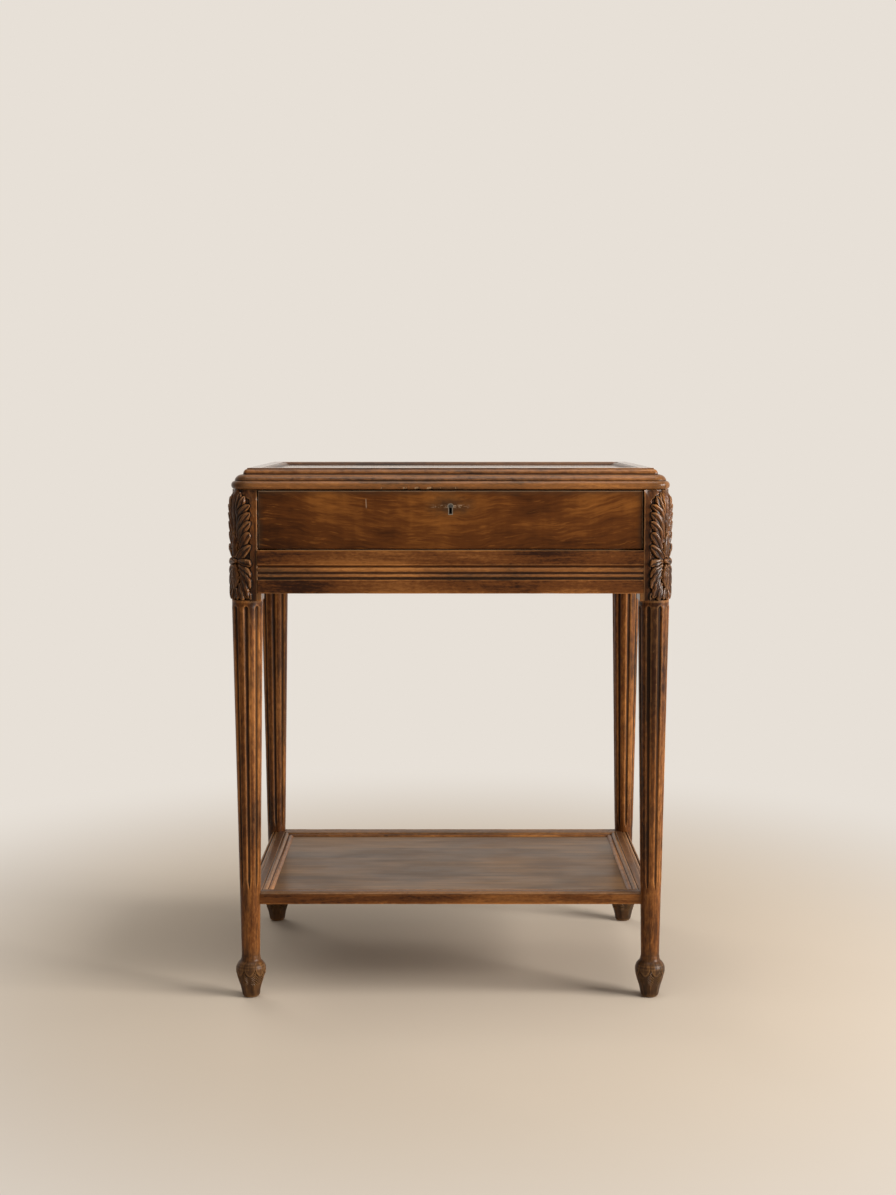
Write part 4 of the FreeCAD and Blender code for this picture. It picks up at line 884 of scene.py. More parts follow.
class DRESSING_TABLE_OT_rails(bpy.types.Operator):
    """Mould the front rail and the side aprons"""

    bl_idname = "dressing_table.rails"
    bl_label = "Rails and aprons"

    def execute(self, context):
        settings = context.scene.table_bars
        front = LEG_Y + BLOCK_HALF
        side = LEG_X + BLOCK_HALF
        between_x = LEG_X - BLOCK_HALF + REBATE_WIDE
        between_y = LEG_Y - BLOCK_HALF
        # name, turn, half length, face, back, top and grain
        rails = (("front_rail", 0, between_x, front, front - REBATE_DEEP, BELT_TOP, "X"),
                 ("right_apron", 90, between_y, side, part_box("right_apron")[0].x, CASE_TOP, "Y"),
                 ("left_apron", -90, between_y, side, -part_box("left_apron")[1].x, CASE_TOP, "Y"))
        for number, (name, angle, half, face, back, top, grain) in enumerate(rails):
            section = filled(belt_section(face, back, top), -back - 5 * MM)
            along = stations(half - settings.joint, settings.step)
            bar = moulded_bar(section, along, settings.arris)
            weather(bar, RAIL_SEED + number, settings.wear)
            turn_about(bar, angle)
            finish_bar(bar, "root", name, grain, RAIL_SEED + number, "belt")
        return {"FINISHED"}


class DRESSING_TABLE_OT_lid(bpy.types.Operator):
    """Mould the lid's frame, with its chips and the beds of its fittings"""

    bl_idname = "dressing_table.lid"
    bl_label = "Lid"

    def execute(self, context):
        settings = context.scene.table_bars
        section = filled(lid_section(), LID_BAR - LID_HALF_Y + 0.1 * MM)
        # the stations stand closer together where the edge is chipped
        chipped = (-0.110, 0.014, 0.8 * MM)
        bars = frame_bars(section, LID_HALF_X, LID_HALF_Y, LID_EDGE, settings, chipped)
        for number, (side, angle, grain, bar) in enumerate(bars):
            if side == "front":
                chip_edge(bar)
            weather(bar, LID_SEED + number, settings.wear)
            turn_about(bar, angle)
            if side == "front":
                cut_keep(bar)
            if side == "back":
                cut_hinge_beds(bar)
            finish_bar(bar, "lid", f"lid_{side}_rail", grain, LID_SEED + number, "lid")
        return {"FINISHED"}


def cut_away(bar, cutter):
    """Cut one shape out of a bar."""
    modifier = bar.modifiers.new("cut", "BOOLEAN")
    modifier.object = cutter
    modifier.operation = "DIFFERENCE"
    modifier.solver = "EXACT"
    apply_all(bar)
    bpy.data.objects.remove(cutter)


def cut_bed(bar, low, high):
    """Cut a square bed into a bar, from one corner to the other."""
    low, high = Vector(low), Vector(high)
    cut_away(bar, start(bpy.ops.mesh.primitive_cube_add, size=1.0, location=(low + high) / 2,
                        scale=high - low))


def cut_keep(bar):
    """Cut the bed of the lock's keep plate and the mortise that the bolt rises into."""
    play = Vector((0.05, 0.05, 0.0)) * MM
    below = Vector((0.0, 0.0, MM))
    low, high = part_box("lid_keep_plate")
    cut_bed(bar, low - play - below, high + play)
    play = Vector((0.4, 0.3, 0.0)) * MM
    low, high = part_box("lock_bolt")
    throw = Vector((0.0, 0.0, 11.0 * MM))
    cut_bed(bar, low - play, high + play + throw)


def cut_hinge_beds(bar):
    """Cut the beds of the two hinge leaves."""
    leaves = places(NODES["lid_hinge_leaves"])
    play = 0.05 * MM
    for side in (-1, 1):
        leaf = leaves[(leaves[:, 0] * side > 0) & (leaves[:, 1] < LID_HALF_Y - 10 * MM)]
        low, high = leaf.min(axis=0), leaf.max(axis=0)
        cut_bed(bar, (low[0] - play, low[1] - play, LID_LOW - MM),
                (high[0] + play, LID_HALF_Y + MM, high[2]))


def chip_edge(bar):
    """Chip the lower front arris of the lid where it is lifted, and note where it is chipped."""
    spots = places(bar)
    near = (spots[:, 1] < -LID_HALF_Y + 6 * MM) & (spots[:, 2] < LID_LOW + CHIP_REACH)
    edge = np.clip(1 - (spots[:, 2] - LID_LOW) / CHIP_REACH, 0, 1) * near
    chipped = np.zeros(len(spots))
    for place, half, deep in LID_CHIPS:
        share = np.clip(1 - ((spots[:, 0] - place * MM) / (half * MM)) ** 2, 0, 1)
        bite = share ** 0.6 * edge
        chipped = np.maximum(chipped, bite)
        spots[:, 1] += bite * deep * MM * 0.7
        spots[:, 2] += bite * deep * MM * 0.5
    move_to(bar, spots)
    store(bar, "chip", np.clip(chipped * 2.5, 0, 1))


class DRESSING_TABLE_OT_shelf(bpy.types.Operator):
    """Mould the low shelf's frame"""

    bl_idname = "dressing_table.shelf"
    bl_label = "Shelf"

    def execute(self, context):
        settings = context.scene.table_bars
        section = filled(shelf_section(), SHELF_BAR - SHELF_HALF_Y + 0.1 * MM)
        bars = frame_bars(section, SHELF_HALF_X, SHELF_HALF_Y, 0.0, settings)
        for number, (side, angle, grain, bar) in enumerate(bars):
            weather(bar, SHELF_SEED + number, settings.wear)
            turn_about(bar, angle)
            cut_notches(bar)
            finish_bar(bar, "root", f"shelf_{side}_rail", grain, SHELF_SEED + number, "shelf")
        return {"FINISHED"}


def cut_notches(bar):
    """Cut the round notches in which the legs stand."""
    low = SHELF_LOW - MM
    high = SHELF_LOW + 17 * MM
    play = 0.15 * MM
    for foot in FEET.values():
        cut_away(bar, start(bpy.ops.mesh.primitive_cone_add, vertices=96, depth=high - low,
                            radius1=shaft_radius(low) + play, radius2=shaft_radius(high) + play,
                            location=(foot.x, foot.y, (low + high) / 2)))


# Finishes

# The marks that finishes are made of: how many come to a metre along the grain's X, Y and Z, and
# then their detail and roughness
MARKS = {
    "grain bend": (2.2, 9.0, 9.0, 2.0, 0.5),
    "grain streak": (4.0, 75.0, 75.0, 6.0, 0.68),
    "grain fibre": (22.0, 620.0, 620.0, 3.0, 0.6),
    "grain pore": (85.0, 1500.0, 1500.0, 1.0, 0.5),
    "grain cloud": (5.0, 11.0, 11.0, 2.0, 0.5),
    "grain mottle": (90.0, 140.0, 140.0, 3.0, 0.6),
    "grain speck": (150.0, 460.0, 460.0, 3.0, 0.65),
    "grain swell": (26.0, 42.0, 42.0, 2.0, 0.5),
    "leg stain": (13.0, 95.0, 95.0, 4.0, 0.7),
    "leg nick": (170.0, 330.0, 330.0, 2.0, 0.5),
    "flame bend": (11.0, 11.0, 16.0, 2.0, 0.5),
    "flame cloud": (8.0, 1.0, 19.0, 3.0, 0.55),
    "flame band": (13.0, 1.0, 75.0, 3.0, 0.6),
    "flame wisp": (34.0, 1.0, 330.0, 3.0, 0.6),
    "flame fibre": (60.0, 1.0, 900.0, 3.0, 0.6),
    "flame pore": (120.0, 1.0, 1600.0, 1.0, 0.5),
    "flame curl": (120.0, 1.0, 12.0, 1.0, 0.5),
    "flame flash": (30.0, 1.0, 260.0, 3.0, 0.6),
    "flame dirt": (60.0, 1.0, 90.0, 3.0, 0.6),
    "flame scrape": (140.0, 1.0, 520.0, 3.0, 0.7),
    "flame swell": (14.0, 20.0, 20.0, 1.0, 0.5),
    "panel line": (7.0, 230.0, 230.0, 5.0, 0.7),
    "panel patch": (7.0, 16.0, 16.0, 3.0, 0.6),
    "panel stain": (5.0, 9.0, 9.0, 4.0, 0.65),
    "panel swell": (9.0, 13.0, 13.0, 1.0, 0.5),
    "metal blotch": (160.0, 160.0, 160.0, 4.0, 0.6),
    "metal grit": (900.0, 900.0, 900.0, 2.0, 0.5),
    "silver speck": (60.0, 60.0, 60.0, 5.0, 0.7),
    "floor paint": (6.0, 6.0, 6.0, 2.0, 0.5),
}

# The colours of age, dirt and figure, of painted shade and sheen, and of the darker feet and
# blocks, besides those that the user may change
AGE = {
    "foot_darkening": (0.036, 0.023, 0.012),
    "block_darkening": (0.034, 0.015, 0.007),
    "leg stain": (0.030, 0.012, 0.005),
    "bare chip": (0.38, 0.235, 0.13),
    "top_sheen": (0.078, 0.046, 0.026),
    "bead_wax_and_shade": (0.022, 0.010, 0.005),
    "lid_corner_shade": (0.045, 0.022, 0.009),
    "flame dark": (0.038, 0.0110, 0.0022),
    "flame mid": (0.100, 0.0300, 0.0052),
    "flame light": (0.225, 0.078, 0.0140),
    "flame flash": (0.31, 0.112, 0.022),
    "flame shadow": (0.036, 0.010, 0.002),
    "flame pore": (0.03, 0.009, 0.003),
    "border_wax_and_shade": (0.040, 0.022, 0.010),
    "hand dirt": (0.034, 0.019, 0.009),
    "scratch": (0.36, 0.24, 0.15),
    "panel dark": (0.078, 0.033, 0.009),
    "panel light": (0.245, 0.121, 0.036),
    "panel patch": (0.24, 0.15, 0.095),
    "panel stain": (0.045, 0.024, 0.012),
    "oak dark": (0.20, 0.115, 0.055),
    "oak pore": (0.10, 0.055, 0.028),
    "brass stain": (0.16, 0.10, 0.05),
    "black brass": (0.05, 0.035, 0.018),
    "black stain": (0.012, 0.009, 0.006),
    "dull liner": (0.36, 0.31, 0.25),
    "dull stain": (0.12, 0.09, 0.06),
    "steel stain": (0.14, 0.11, 0.09),
    "silver": (0.86, 0.87, 0.86),
    "silver speck": (0.30, 0.27, 0.22),
}

# How walnut is worn at each place: how far its tone is lifted and its contrast, how much dark wax
# and painted shade its hollows hold and how hollow they have to be, how far its proud edges are
# rubbed pale and lit with a painted highlight, how rough its polish is and how strong its coat
WEAR = {
    "leg": {"lift": 0.02, "contrast": 1.6, "wax_and_shade": 0.95, "hollow": (0.0, 0.45), "rubbed": 0.9,
            "polish": 0.36, "coat": 0.1},
    "belt": {"lift": 0.0, "contrast": 1.35, "wax_and_shade": 0.95, "hollow": (0.0, 0.45), "rubbed": 0.8,
             "polish": 0.36, "coat": 0.3},
    "lid": {"lift": 0.08, "contrast": 1.35, "wax_and_shade": 0.95, "hollow": (-0.05, 0.35), "rubbed": 0.8,
            "polish": 0.36, "coat": 0.3},
    "shelf": {"lift": 0.26, "contrast": 1.35, "wax_and_shade": 0.95, "hollow": (-0.1, 0.28), "rubbed": 0.8,
              "polish": 0.36, "coat": 0.1},
    "plain": {"lift": 0.0, "contrast": 1.35, "polish": 0.38, "coat": 0.1},
}


class Wire:
    """One socket's value, so that a finish can be written as a sum."""

    def __init__(self, board, socket):
        self.board = board
        self.socket = socket

    def _sum(self, operation, *others):
        return self.board.add("ShaderNodeMath", {"operation": operation}, *others)

    def __add__(self, other):
        return self._sum("ADD", self, other)

    def __radd__(self, other):
        return self._sum("ADD", other, self)

    def __sub__(self, other):
        return self._sum("SUBTRACT", self, other)

    def __rsub__(self, other):
        return self._sum("SUBTRACT", other, self)

    def __mul__(self, other):
        return self._sum("MULTIPLY", self, other)

    def __rmul__(self, other):
        return self._sum("MULTIPLY", other, self)

    def __pow__(self, other):
        return self._sum("POWER", self, other)

    def __abs__(self):
        return self._sum("ABSOLUTE", self)

    def __getitem__(self, name):
        return Wire(self.board, self.socket.node.outputs[name])


def hue(name):
    """A colour by its name: one of age, or one of the finish settings."""
    return AGE[name] if name in AGE else tuple(getattr(bpy.context.scene.table_finish, name))


class Board:
    """The nodes of one finish, or of the room's light."""

    def __init__(self, owner):
        owner.use_nodes = True
        self.owner = owner
        self.tree = owner.node_tree

    def add(self, kind, settings=None, *values, **named):
        """A node of one kind: its settings first, then the values or wires of its sockets."""
        node = self.tree.nodes.new(kind)
        for key, value in (settings or {}).items():
            setattr(node, key, value)
        for socket, value in zip(node.inputs, values):
            self.put(socket, value)
        self.feed(node, named)
        return Wire(self, node.outputs[0] if node.outputs else None)

    def feed(self, node, values):
        """Set a node's sockets by their names."""
        for key, value in values.items():
            self.put(node.inputs[key.replace("_", " ")], value)

    def put(self, socket, value):
        """Set a socket to a number or a colour, or link a wire to it."""
        if isinstance(value, Wire):
            self.tree.links.new(value.socket, socket)
        elif value is not None:
            socket.default_value = value

    def finish(self, **values):
        """Feed the shader's sockets, and return the material."""
        self.feed(self.tree.nodes["Principled BSDF"], values)
        return self.owner

    def polished(self, shade, rough, normal, coat, mirror=0.12, coat_rough=0.22):
        """Feed the shader as polished wood, with how strongly it mirrors the room besides its coat
        of wax."""
        return self.finish(Base_Color=shade, Roughness=rough, Normal=normal, Coat_Weight=coat,
                           Specular_IOR_Level=mirror, Coat_Roughness=coat_rough)

    def step(self, value, low, high):
        """From 0 at low to 1 at high, smoothly."""
        smooth = {"interpolation_type": "SMOOTHSTEP"}
        return self.add("ShaderNodeMapRange", smooth, value, low, high, 0.0, 1.0)

    def most(self, first, *others):
        """The highest of several values."""
        for other in others:
            first = self.add("ShaderNodeMath", {"operation": "MAXIMUM"}, first, other)
        return first

    def least(self, first, other):
        """The lower of two values."""
        return self.add("ShaderNodeMath", {"operation": "MINIMUM"}, first, other)

    def blend(self, share, first, second):
        """One colour turning into another, each a wire, a tuple or a name."""
        node = self.tree.nodes.new("ShaderNodeMix")
        node.data_type = "RGBA"
        self.put(node.inputs[0], share)
        for socket, value in zip((node.inputs[6], node.inputs[7]), (first, second)):
            value = hue(value) if isinstance(value, str) else value
            self.put(socket, (*value, 1.0) if isinstance(value, tuple) else value)
        return Wire(self, node.outputs[2])

    def lay(self, shade, colour, value, low, high, share=1.0):
        """A colour laid over another, up to a share, where a value climbs from low to high."""
        return self.blend(self.step(value, low, high) * share, shade, colour)

    def place(self, grain="X"):
        """Places on the piece in metres, turned so that the grain runs along X."""
        turns = {"X": (0, 0, 0), "Y": (0, 0, -math.pi / 2), "Z": (0, math.pi / 2, 0)}
        spot = self.add("ShaderNodeTexCoord")["Object"]
        return self.add("ShaderNodeMapping", {}, spot, (0, 0, 0), turns[grain], (1, 1, 1))

    def parts(self, output="Object"):
        """A place's three parts, taken by X, Y and Z."""
        return self.add("ShaderNodeSeparateXYZ", {}, self.add("ShaderNodeTexCoord")[output])

    def vector(self, operation, *values):
        """Vectors put together."""
        return self.add("ShaderNodeVectorMath", {"operation": operation}, *values)

    def kept(self, name):
        """A number kept for each vertex."""
        return self.add("ShaderNodeAttribute", {"attribute_name": name})["Fac"]

    def mark(self, spot, name):
        """One of the marks, as noise from 0 to 1."""
        *size, detail, rough = MARKS[name]
        spot = self.vector("MULTIPLY", spot, tuple(size))
        return self.add("ShaderNodeTexNoise", {"noise_dimensions": "3D"}, Vector=spot, Scale=1.0,
                        Detail=detail, Roughness=rough, Distortion=0.0)

    def marks(self, spot, kind, *names):
        """Several marks of one kind."""
        return [self.mark(spot, f"{kind} {name}") for name in names]

    def bumps(self, *layers):
        """A bumped normal from layers of a height between 0 and 1, a strength and a distance."""
        normal = None
        for height, strength, distance in layers:
            normal = self.add("ShaderNodeBump", {}, Strength=strength, Distance=distance,
                              Height=height, Normal=normal)
        return normal


def finish_board(name):
    """The nodes of a new material."""
    return Board(bpy.data.materials.new(name))


def grain_of(board, spot, seed):
    """Walnut's streaks, fibres, pores and clouds at a place, each from 0 to 1."""
    spot = board.vector("ADD", spot, (seed * 0.731 % 5, seed * 1.137 % 5, seed * 0.417 % 5))
    bend = board.mark(spot, "grain bend") - 0.5
    drift = board.add("ShaderNodeCombineXYZ", {}, 0.0, bend * 0.05, bend * 0.04)
    spot = board.vector("ADD", spot, drift)
    return board.marks(spot, "grain", "streak", "fibre", "pore", "cloud")


def walnut(name, grain, seed, place="plain"):
    """Aged walnut with its grain along one axis, worn as at its place on the table. Where it is
    moulded or carved, its hollows hold wax and painted shade, and its proud edges a painted
    highlight.
    """
    wear = WEAR[place]
    board = finish_board(name)
    spot = board.place(grain)
    parts = board.parts()
    streak, fibre, pore, cloud = grain_of(board, spot, seed)
    mottle, speck, swell = board.marks(spot, "grain", "mottle", "speck", "swell")
    mottle = mottle - 0.5
    tone = board.step(streak, 0.30, 0.70) * 0.5 + board.step(cloud, 0.30, 0.70) * 0.5
    tone = tone + (fibre - 0.5) * 0.36 + (speck - 0.5) * 0.7 + mottle * 0.35
    tone = (tone - 0.5) * wear["contrast"] + 0.5 + wear["lift"]
    shade = board.lay("walnut_dark", "walnut_mid", tone, -0.05, 0.55)
    shade = board.lay(shade, "walnut_light", tone, 0.5, 1.1)
    shade = board.lay(shade, "walnut_dark", pore, 0.66, 0.74, 0.5)
    rough = wear["polish"] + (fibre - 0.5) * 0.12 + board.step(cloud, 0.3, 0.8) * 0.07
    coat = wear["coat"]
    if place == "leg":
        shade, block = dirty_leg(board, spot, parts["Z"], shade, mottle)
        coat = coat + block * 0.3
    if place == "shelf":
        # the frame's top is painted greyer than its edge, a painted sheen on its upward face
        level = board.step(parts["Z"], SHELF_LOW + 12.5 * MM, SHELF_LOW + 14.5 * MM)
        shade = board.blend(level * 0.5, shade, "top_sheen")
    if place != "plain":
        shade, rough = wear_and_painted_light(board, parts["Z"], shade, rough, mottle, place)
    if place == "belt":
        # the belt's upper arris is lightened under the drawer, by rubbing and partly as a painted
        # highlight
        line = board.step(0.0009 - abs(parts["Z"] - BELT_TOP), 0.0, 0.0005)
        shade = board.blend(line * board.step(cloud, 0.30, 0.60) * 0.45, shade, "worn")
    if place == "lid":
        # the bead round the panel is darkened with wax and painted shade, and the corners with
        # painted shade
        in_x = LID_HALF_X - abs(parts["X"])
        in_y = LID_HALF_Y - abs(parts["Y"])
        inward = board.least(in_x, in_y)
        shade = board.lay(shade, "bead_wax_and_shade", inward, LID_BAR - 11.5 * MM, LID_BAR - 10 * MM, 0.62)
        # painted shade on the lid's corners
        corner = 0.045 - in_x - in_y + mottle * 0.02
        shade = board.lay(shade, "lid_corner_shade", corner, 0.0, 0.03, 0.55)
        level = board.step(parts["Z"], LID_TOP - 1.2 * MM, LID_TOP - 0.3 * MM)
        rough = rough - level * 0.2
        coat = coat + level * 0.6
    grooves = fibre * 0.5 + board.step(pore, 0.60, 0.72) * -0.9 + streak * 0.4
    normal = board.bumps((grooves, 0.14, 0.25 * MM), (swell, 0.10, 1.2 * MM))
    return board.polished(shade, rough, normal, coat)


def dirty_leg(board, spot, height, shade, mottle):
    """A leg's colour: feet darker towards the floor, blocks darker than the shafts, stains and pale
    nicks. Returns the shade and where the block is."""
    foot = 1.0 - board.step(height + mottle * 0.03, 0.045, 0.080)
    shade = board.blend(foot * 0.72, shade, "foot_darkening")
    block = board.step(height, BLOCK_LOW + MM, BLOCK_LOW + 3 * MM) * board.step(mottle, -0.3, 0.3)
    shade = board.blend(block * 0.75, shade, "block_darkening")
    shade = board.lay(shade, "leg stain", 0.5 - board.mark(spot, "leg stain"), 0.0, 0.12, 0.6)
    return board.lay(shade, "worn", board.mark(spot, "leg nick"), 0.72, 0.78, 0.4), block


def wear_and_painted_light(board, height, shade, rough, mottle, place):
    """Dark wax and painted shade in the hollows, and proud edges that are rubbed or chipped, the
    rubbed ones lightened partly as a painted highlight.
    """
    wear = WEAR[place]
    hollow = board.kept("hollow")
    deep = board.step(hollow + mottle * 0.4, *wear["hollow"])
    proud = board.step(mottle * 0.9 - hollow, 0.10, 0.7)
    if place == "leg":
        # a leg's blocks hold more of the wax and painted shade than its shafts, and the neck over
        # its foot less
        neck = board.step(height, 0.046, 0.050) * (1.0 - board.step(height, 0.062, 0.066))
        deep = deep * (0.85 + board.step(height, BLOCK_LOW - MM, BLOCK_LOW) * 0.15)
        deep = deep * (1.0 - neck * 0.75)
    # dark wax in the hollows, partly a painted shade
    shade = board.blend(deep * wear["wax_and_shade"], shade, "wax_and_shade")
    # proud edges lightened, partly rubbed and partly a painted highlight
    bare = tuple(value * 0.25 for value in hue("worn"))
    rubbed = board.vector("MULTIPLY_ADD", shade, (1.5, 1.55, 1.45), bare)
    shade = board.blend(proud * wear["rubbed"], shade, rubbed)
    shade = board.lay(shade, "bare chip", board.kept("chip") + mottle * 0.8, 0.3, 0.75)
    return shade, rough + deep * 0.15 - proud * 0.04


def walnut_flame():
    """The drawer front's figured veneer: warm wisps in a V, dark at its edges and keyhole."""
    board = finish_board("walnut_flame")
    low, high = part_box("drawer_front")
    face = board.place()
    parts = board.parts()
    across = parts["X"]
    up = parts["Z"] - (low.z + high.z) / 2
    bend = board.mark(face, "flame bend") - 0.5
    lean = up - (across * across + 0.0036) ** 0.5 * 0.12 + bend * 0.03
    spot = board.add("ShaderNodeCombineXYZ", {}, across + 0.7, 0.0, lean + 0.3)
    cloud, band, wisp, fibre, pore, flash = board.marks(
        spot, "flame", "cloud", "band", "wisp", "fibre", "pore", "flash")
    curl, dirt, scrape, swell = board.marks(face, "flame", "curl", "dirt", "scrape", "swell")
    tone = board.step(cloud, 0.30, 0.70) * 0.55 + board.step(band, 0.30, 0.70) * 0.35
    tone = tone + (wisp - 0.5) * 0.75 + (curl - 0.5) * 0.2 + (fibre - 0.5) * 0.4
    # lighter at the upper left and darker low down, in the figure; darker at the left end and
    # lighter at the right end, a painted falloff of the light from the right
    light = board.step(0.24 - abs(across + 0.08), -0.05, 0.14) * board.step(up, -0.03, 0.03)
    tone = tone + light * 0.26 - board.step(across * -1.0, 0.12, 0.27) * 0.22
    tone = tone + board.step(across, 0.05, 0.18) * 0.14
    shade = board.lay("flame dark", "flame mid", tone, -0.05, 0.6)
    shade = board.lay(shade, "flame light", tone, 0.5, 1.1)
    shade = board.lay(shade, "flame flash", flash, 0.56, 0.72, 0.42)
    shade = board.lay(shade, "flame shadow", 0.40 - flash, 0.0, 0.14, 0.4)
    shade = board.lay(shade, "flame pore", pore, 0.64, 0.76, 0.35)
    # dark wax and painted shade along the sides beside the legs and along the top under the lid,
    # and dirt from hands round the keyhole
    dirt = dirt - 0.5
    inward = board.least(high.x - abs(across), high.z - parts["Z"])
    border = board.step(0.009 - inward + dirt * 0.010, 0.0, 0.010)
    key_up = parts["Z"] - KEYHOLE_UP
    key_gap = (across * across * 0.22 + key_up * key_up) ** 0.5
    hands = board.step(0.021 - key_gap + dirt * 0.018, 0.0, 0.018)
    shade = board.blend(border * 0.55, shade, "border_wax_and_shade")
    shade = board.blend(hands * 0.75, shade, "hand dirt")
    # pale scratches: where a ring of keys swung, an upright one, and the rubbed edges, which also
    # carry a painted highlight
    swung = board.step(0.030 - abs(across), 0.0, 0.012) * board.step(scrape, 0.50, 0.60)
    swung = swung * board.step(0.0028 - abs(key_up), 0.0, 0.0014)
    nick = board.step(0.0011 - abs(across + 0.1163 + key_up * 0.05), 0.0, 0.0008)
    nick = nick * board.step(0.0075 - abs(key_up - 0.004), 0.0, 0.003)
    rubbed = board.step(0.0016 - inward + dirt * 0.0016, 0.0, 0.0009)
    pale = board.most(swung * 0.8, nick * 0.6, rubbed * 0.4)
    shade = board.blend(pale, shade, "scratch")
    rough = 0.38 + (wisp - 0.5) * 0.1 + border * 0.1 + hands * 0.08
    grooves = fibre * 0.5 + wisp * 0.5 - pale * 0.8
    normal = board.bumps((grooves, 0.10, 0.2 * MM), (swell, 0.10, 1.5 * MM))
    return board.polished(shade, rough, normal, 0.1)


def walnut_panel(name, seed, coat, mirror):
    """A flat polished panel, greyed by age, with rubbed patches and stains."""
    board = finish_board(name)
    spot = board.place()
    streak, fibre, pore, cloud = grain_of(board, spot, seed)
    line, patch, stain, swell = board.marks(spot, "panel", "line", "patch", "stain", "swell")
    tone = board.step(streak, 0.3, 0.7) * 0.4 + board.step(cloud, 0.3, 0.7) * 0.35
    tone = tone + line * 0.7 - 0.22 + (fibre - 0.5) * 0.5
    shade = board.lay("panel dark", "panel light", tone, -0.05, 1.05)
    shade = board.lay(shade, "walnut_dark", pore, 0.66, 0.76, 0.4)
    shade = board.lay(shade, "panel patch", patch, 0.52, 0.78, 0.25)
    shade = board.lay(shade, "panel stain", 0.52 - stain, 0.0, 0.16, 0.4)
    rough = 0.33 + board.step(patch, 0.35, 0.7) * 0.12 + (fibre - 0.5) * 0.06
    normal = board.bumps((fibre * 0.5 + streak * 0.5, 0.06, 0.2 * MM), (swell, 0.04, 1.5 * MM))
    return board.polished(shade, rough, normal, coat, mirror, 0.2)


def bare_oak(name, grain, seed):
    """Unpolished oak of the drawer's inside and its runners."""
    board = finish_board(name)
    streak, fibre, pore, cloud = grain_of(board, board.place(grain), seed)
    tone = board.step(streak, 0.3, 0.7) * 0.6 + board.step(cloud, 0.3, 0.7) * 0.4
    tone = tone + (fibre - 0.5) * 0.4
    shade = board.lay("oak dark", "oak", tone, 0.0, 1.0)
    shade = board.lay(shade, "oak pore", pore, 0.60, 0.72, 0.6)
    normal = board.bumps((fibre * 0.6 - pore * 0.4, 0.25, 0.3 * MM))
    return board.finish(Base_Color=shade, Roughness=0.68 + (fibre - 0.5) * 0.2, Normal=normal)


def aged_metal(name, colour, stain, rough):
    """Metal with a dull skin, brighter where it is rubbed."""
    board = finish_board(name)
    spot = board.place()
    grit = board.mark(spot, "metal grit")
    skin = board.step(board.mark(spot, "metal blotch") + (grit - 0.5) * 0.2, 0.42, 0.68)
    shade = board.blend(skin * 0.75, colour, stain)
    return board.finish(Base_Color=shade, Metallic=1.0 - skin * 0.35, Roughness=rough + skin * 0.22,
                        Normal=board.bumps((grit, 0.08, 0.1 * MM)))


def silvered_glass():
    """Old mirror glass, with faint specks in the silver."""
    board = finish_board("silvered_glass")
    specks = board.step(board.mark(board.place(), "silver speck"), 0.66, 0.80)
    shade = board.blend(specks * 0.6, "silver", "silver speck")
    return board.finish(Base_Color=shade, Metallic=1.0, Roughness=0.03 + specks * 0.3)


def shown_ahead(board, ahead):
    """Where the backdrop's colour shows: to the camera, through glass, and mirrored where it lies
    behind the table."""
    path = board.add("ShaderNodeLightPath")
    return board.most(path["Is Camera Ray"], ahead * path["Is Glossy Ray"],
                      path["Is Transmission Ray"])


def fading_floor(settings):
    """A plain pale floor that fades into the backdrop's colour some way from the table."""
    board = finish_board("pale_floor")
    spot = board.add("ShaderNodeTexCoord")["Object"]
    paint = tuple(settings.floor)
    dim = tuple(value * 0.98 for value in paint)
    shade = board.blend(board.mark(spot, "floor paint"), dim, paint)
    board.finish(Base_Color=shade, Roughness=0.9, Specular_IOR_Level=0.1)
    far = board.vector("LENGTH", board.vector("MULTIPLY", spot, (1.0, 0.85, 1.0)))["Value"]
    shown = shown_ahead(board, board.step(board.parts()["Y"], -0.2, 0.5))
    plain = Wire(board, board.tree.nodes["Principled BSDF"].outputs[0])
    glow = board.add("ShaderNodeEmission", {}, (*settings.air, 1.0), 1.0)
    mixed = board.add("ShaderNodeMixShader", {}, board.step(far, 0.45, 1.35) * shown, plain, glow)
    board.put(board.tree.nodes["Material Output"].inputs["Surface"], mixed)
    return board.owner


def room_light(context, settings):
    """Light from all round. Polished faces mirror the pale wall behind the table, and a dimmer room
    in front of it."""
    world = bpy.data.worlds.new("room")
    context.scene.world = world
    board = Board(world)
    board.tree.nodes.clear()
    light = board.add("ShaderNodeBackground", {}, (1.0, 0.965, 0.92, 1.0), settings.fill)
    wall = board.add("ShaderNodeBackground", {}, (*settings.air, 1.0), 1.0)
    ahead = board.add("ShaderNodeMapRange", {}, board.parts("Generated")["Y"], -0.1, 0.4, 0.0, 1.0)
    room = board.add("ShaderNodeMixShader", {}, shown_ahead(board, ahead), light, wall)
    board.add("ShaderNodeOutputWorld", {}, room)


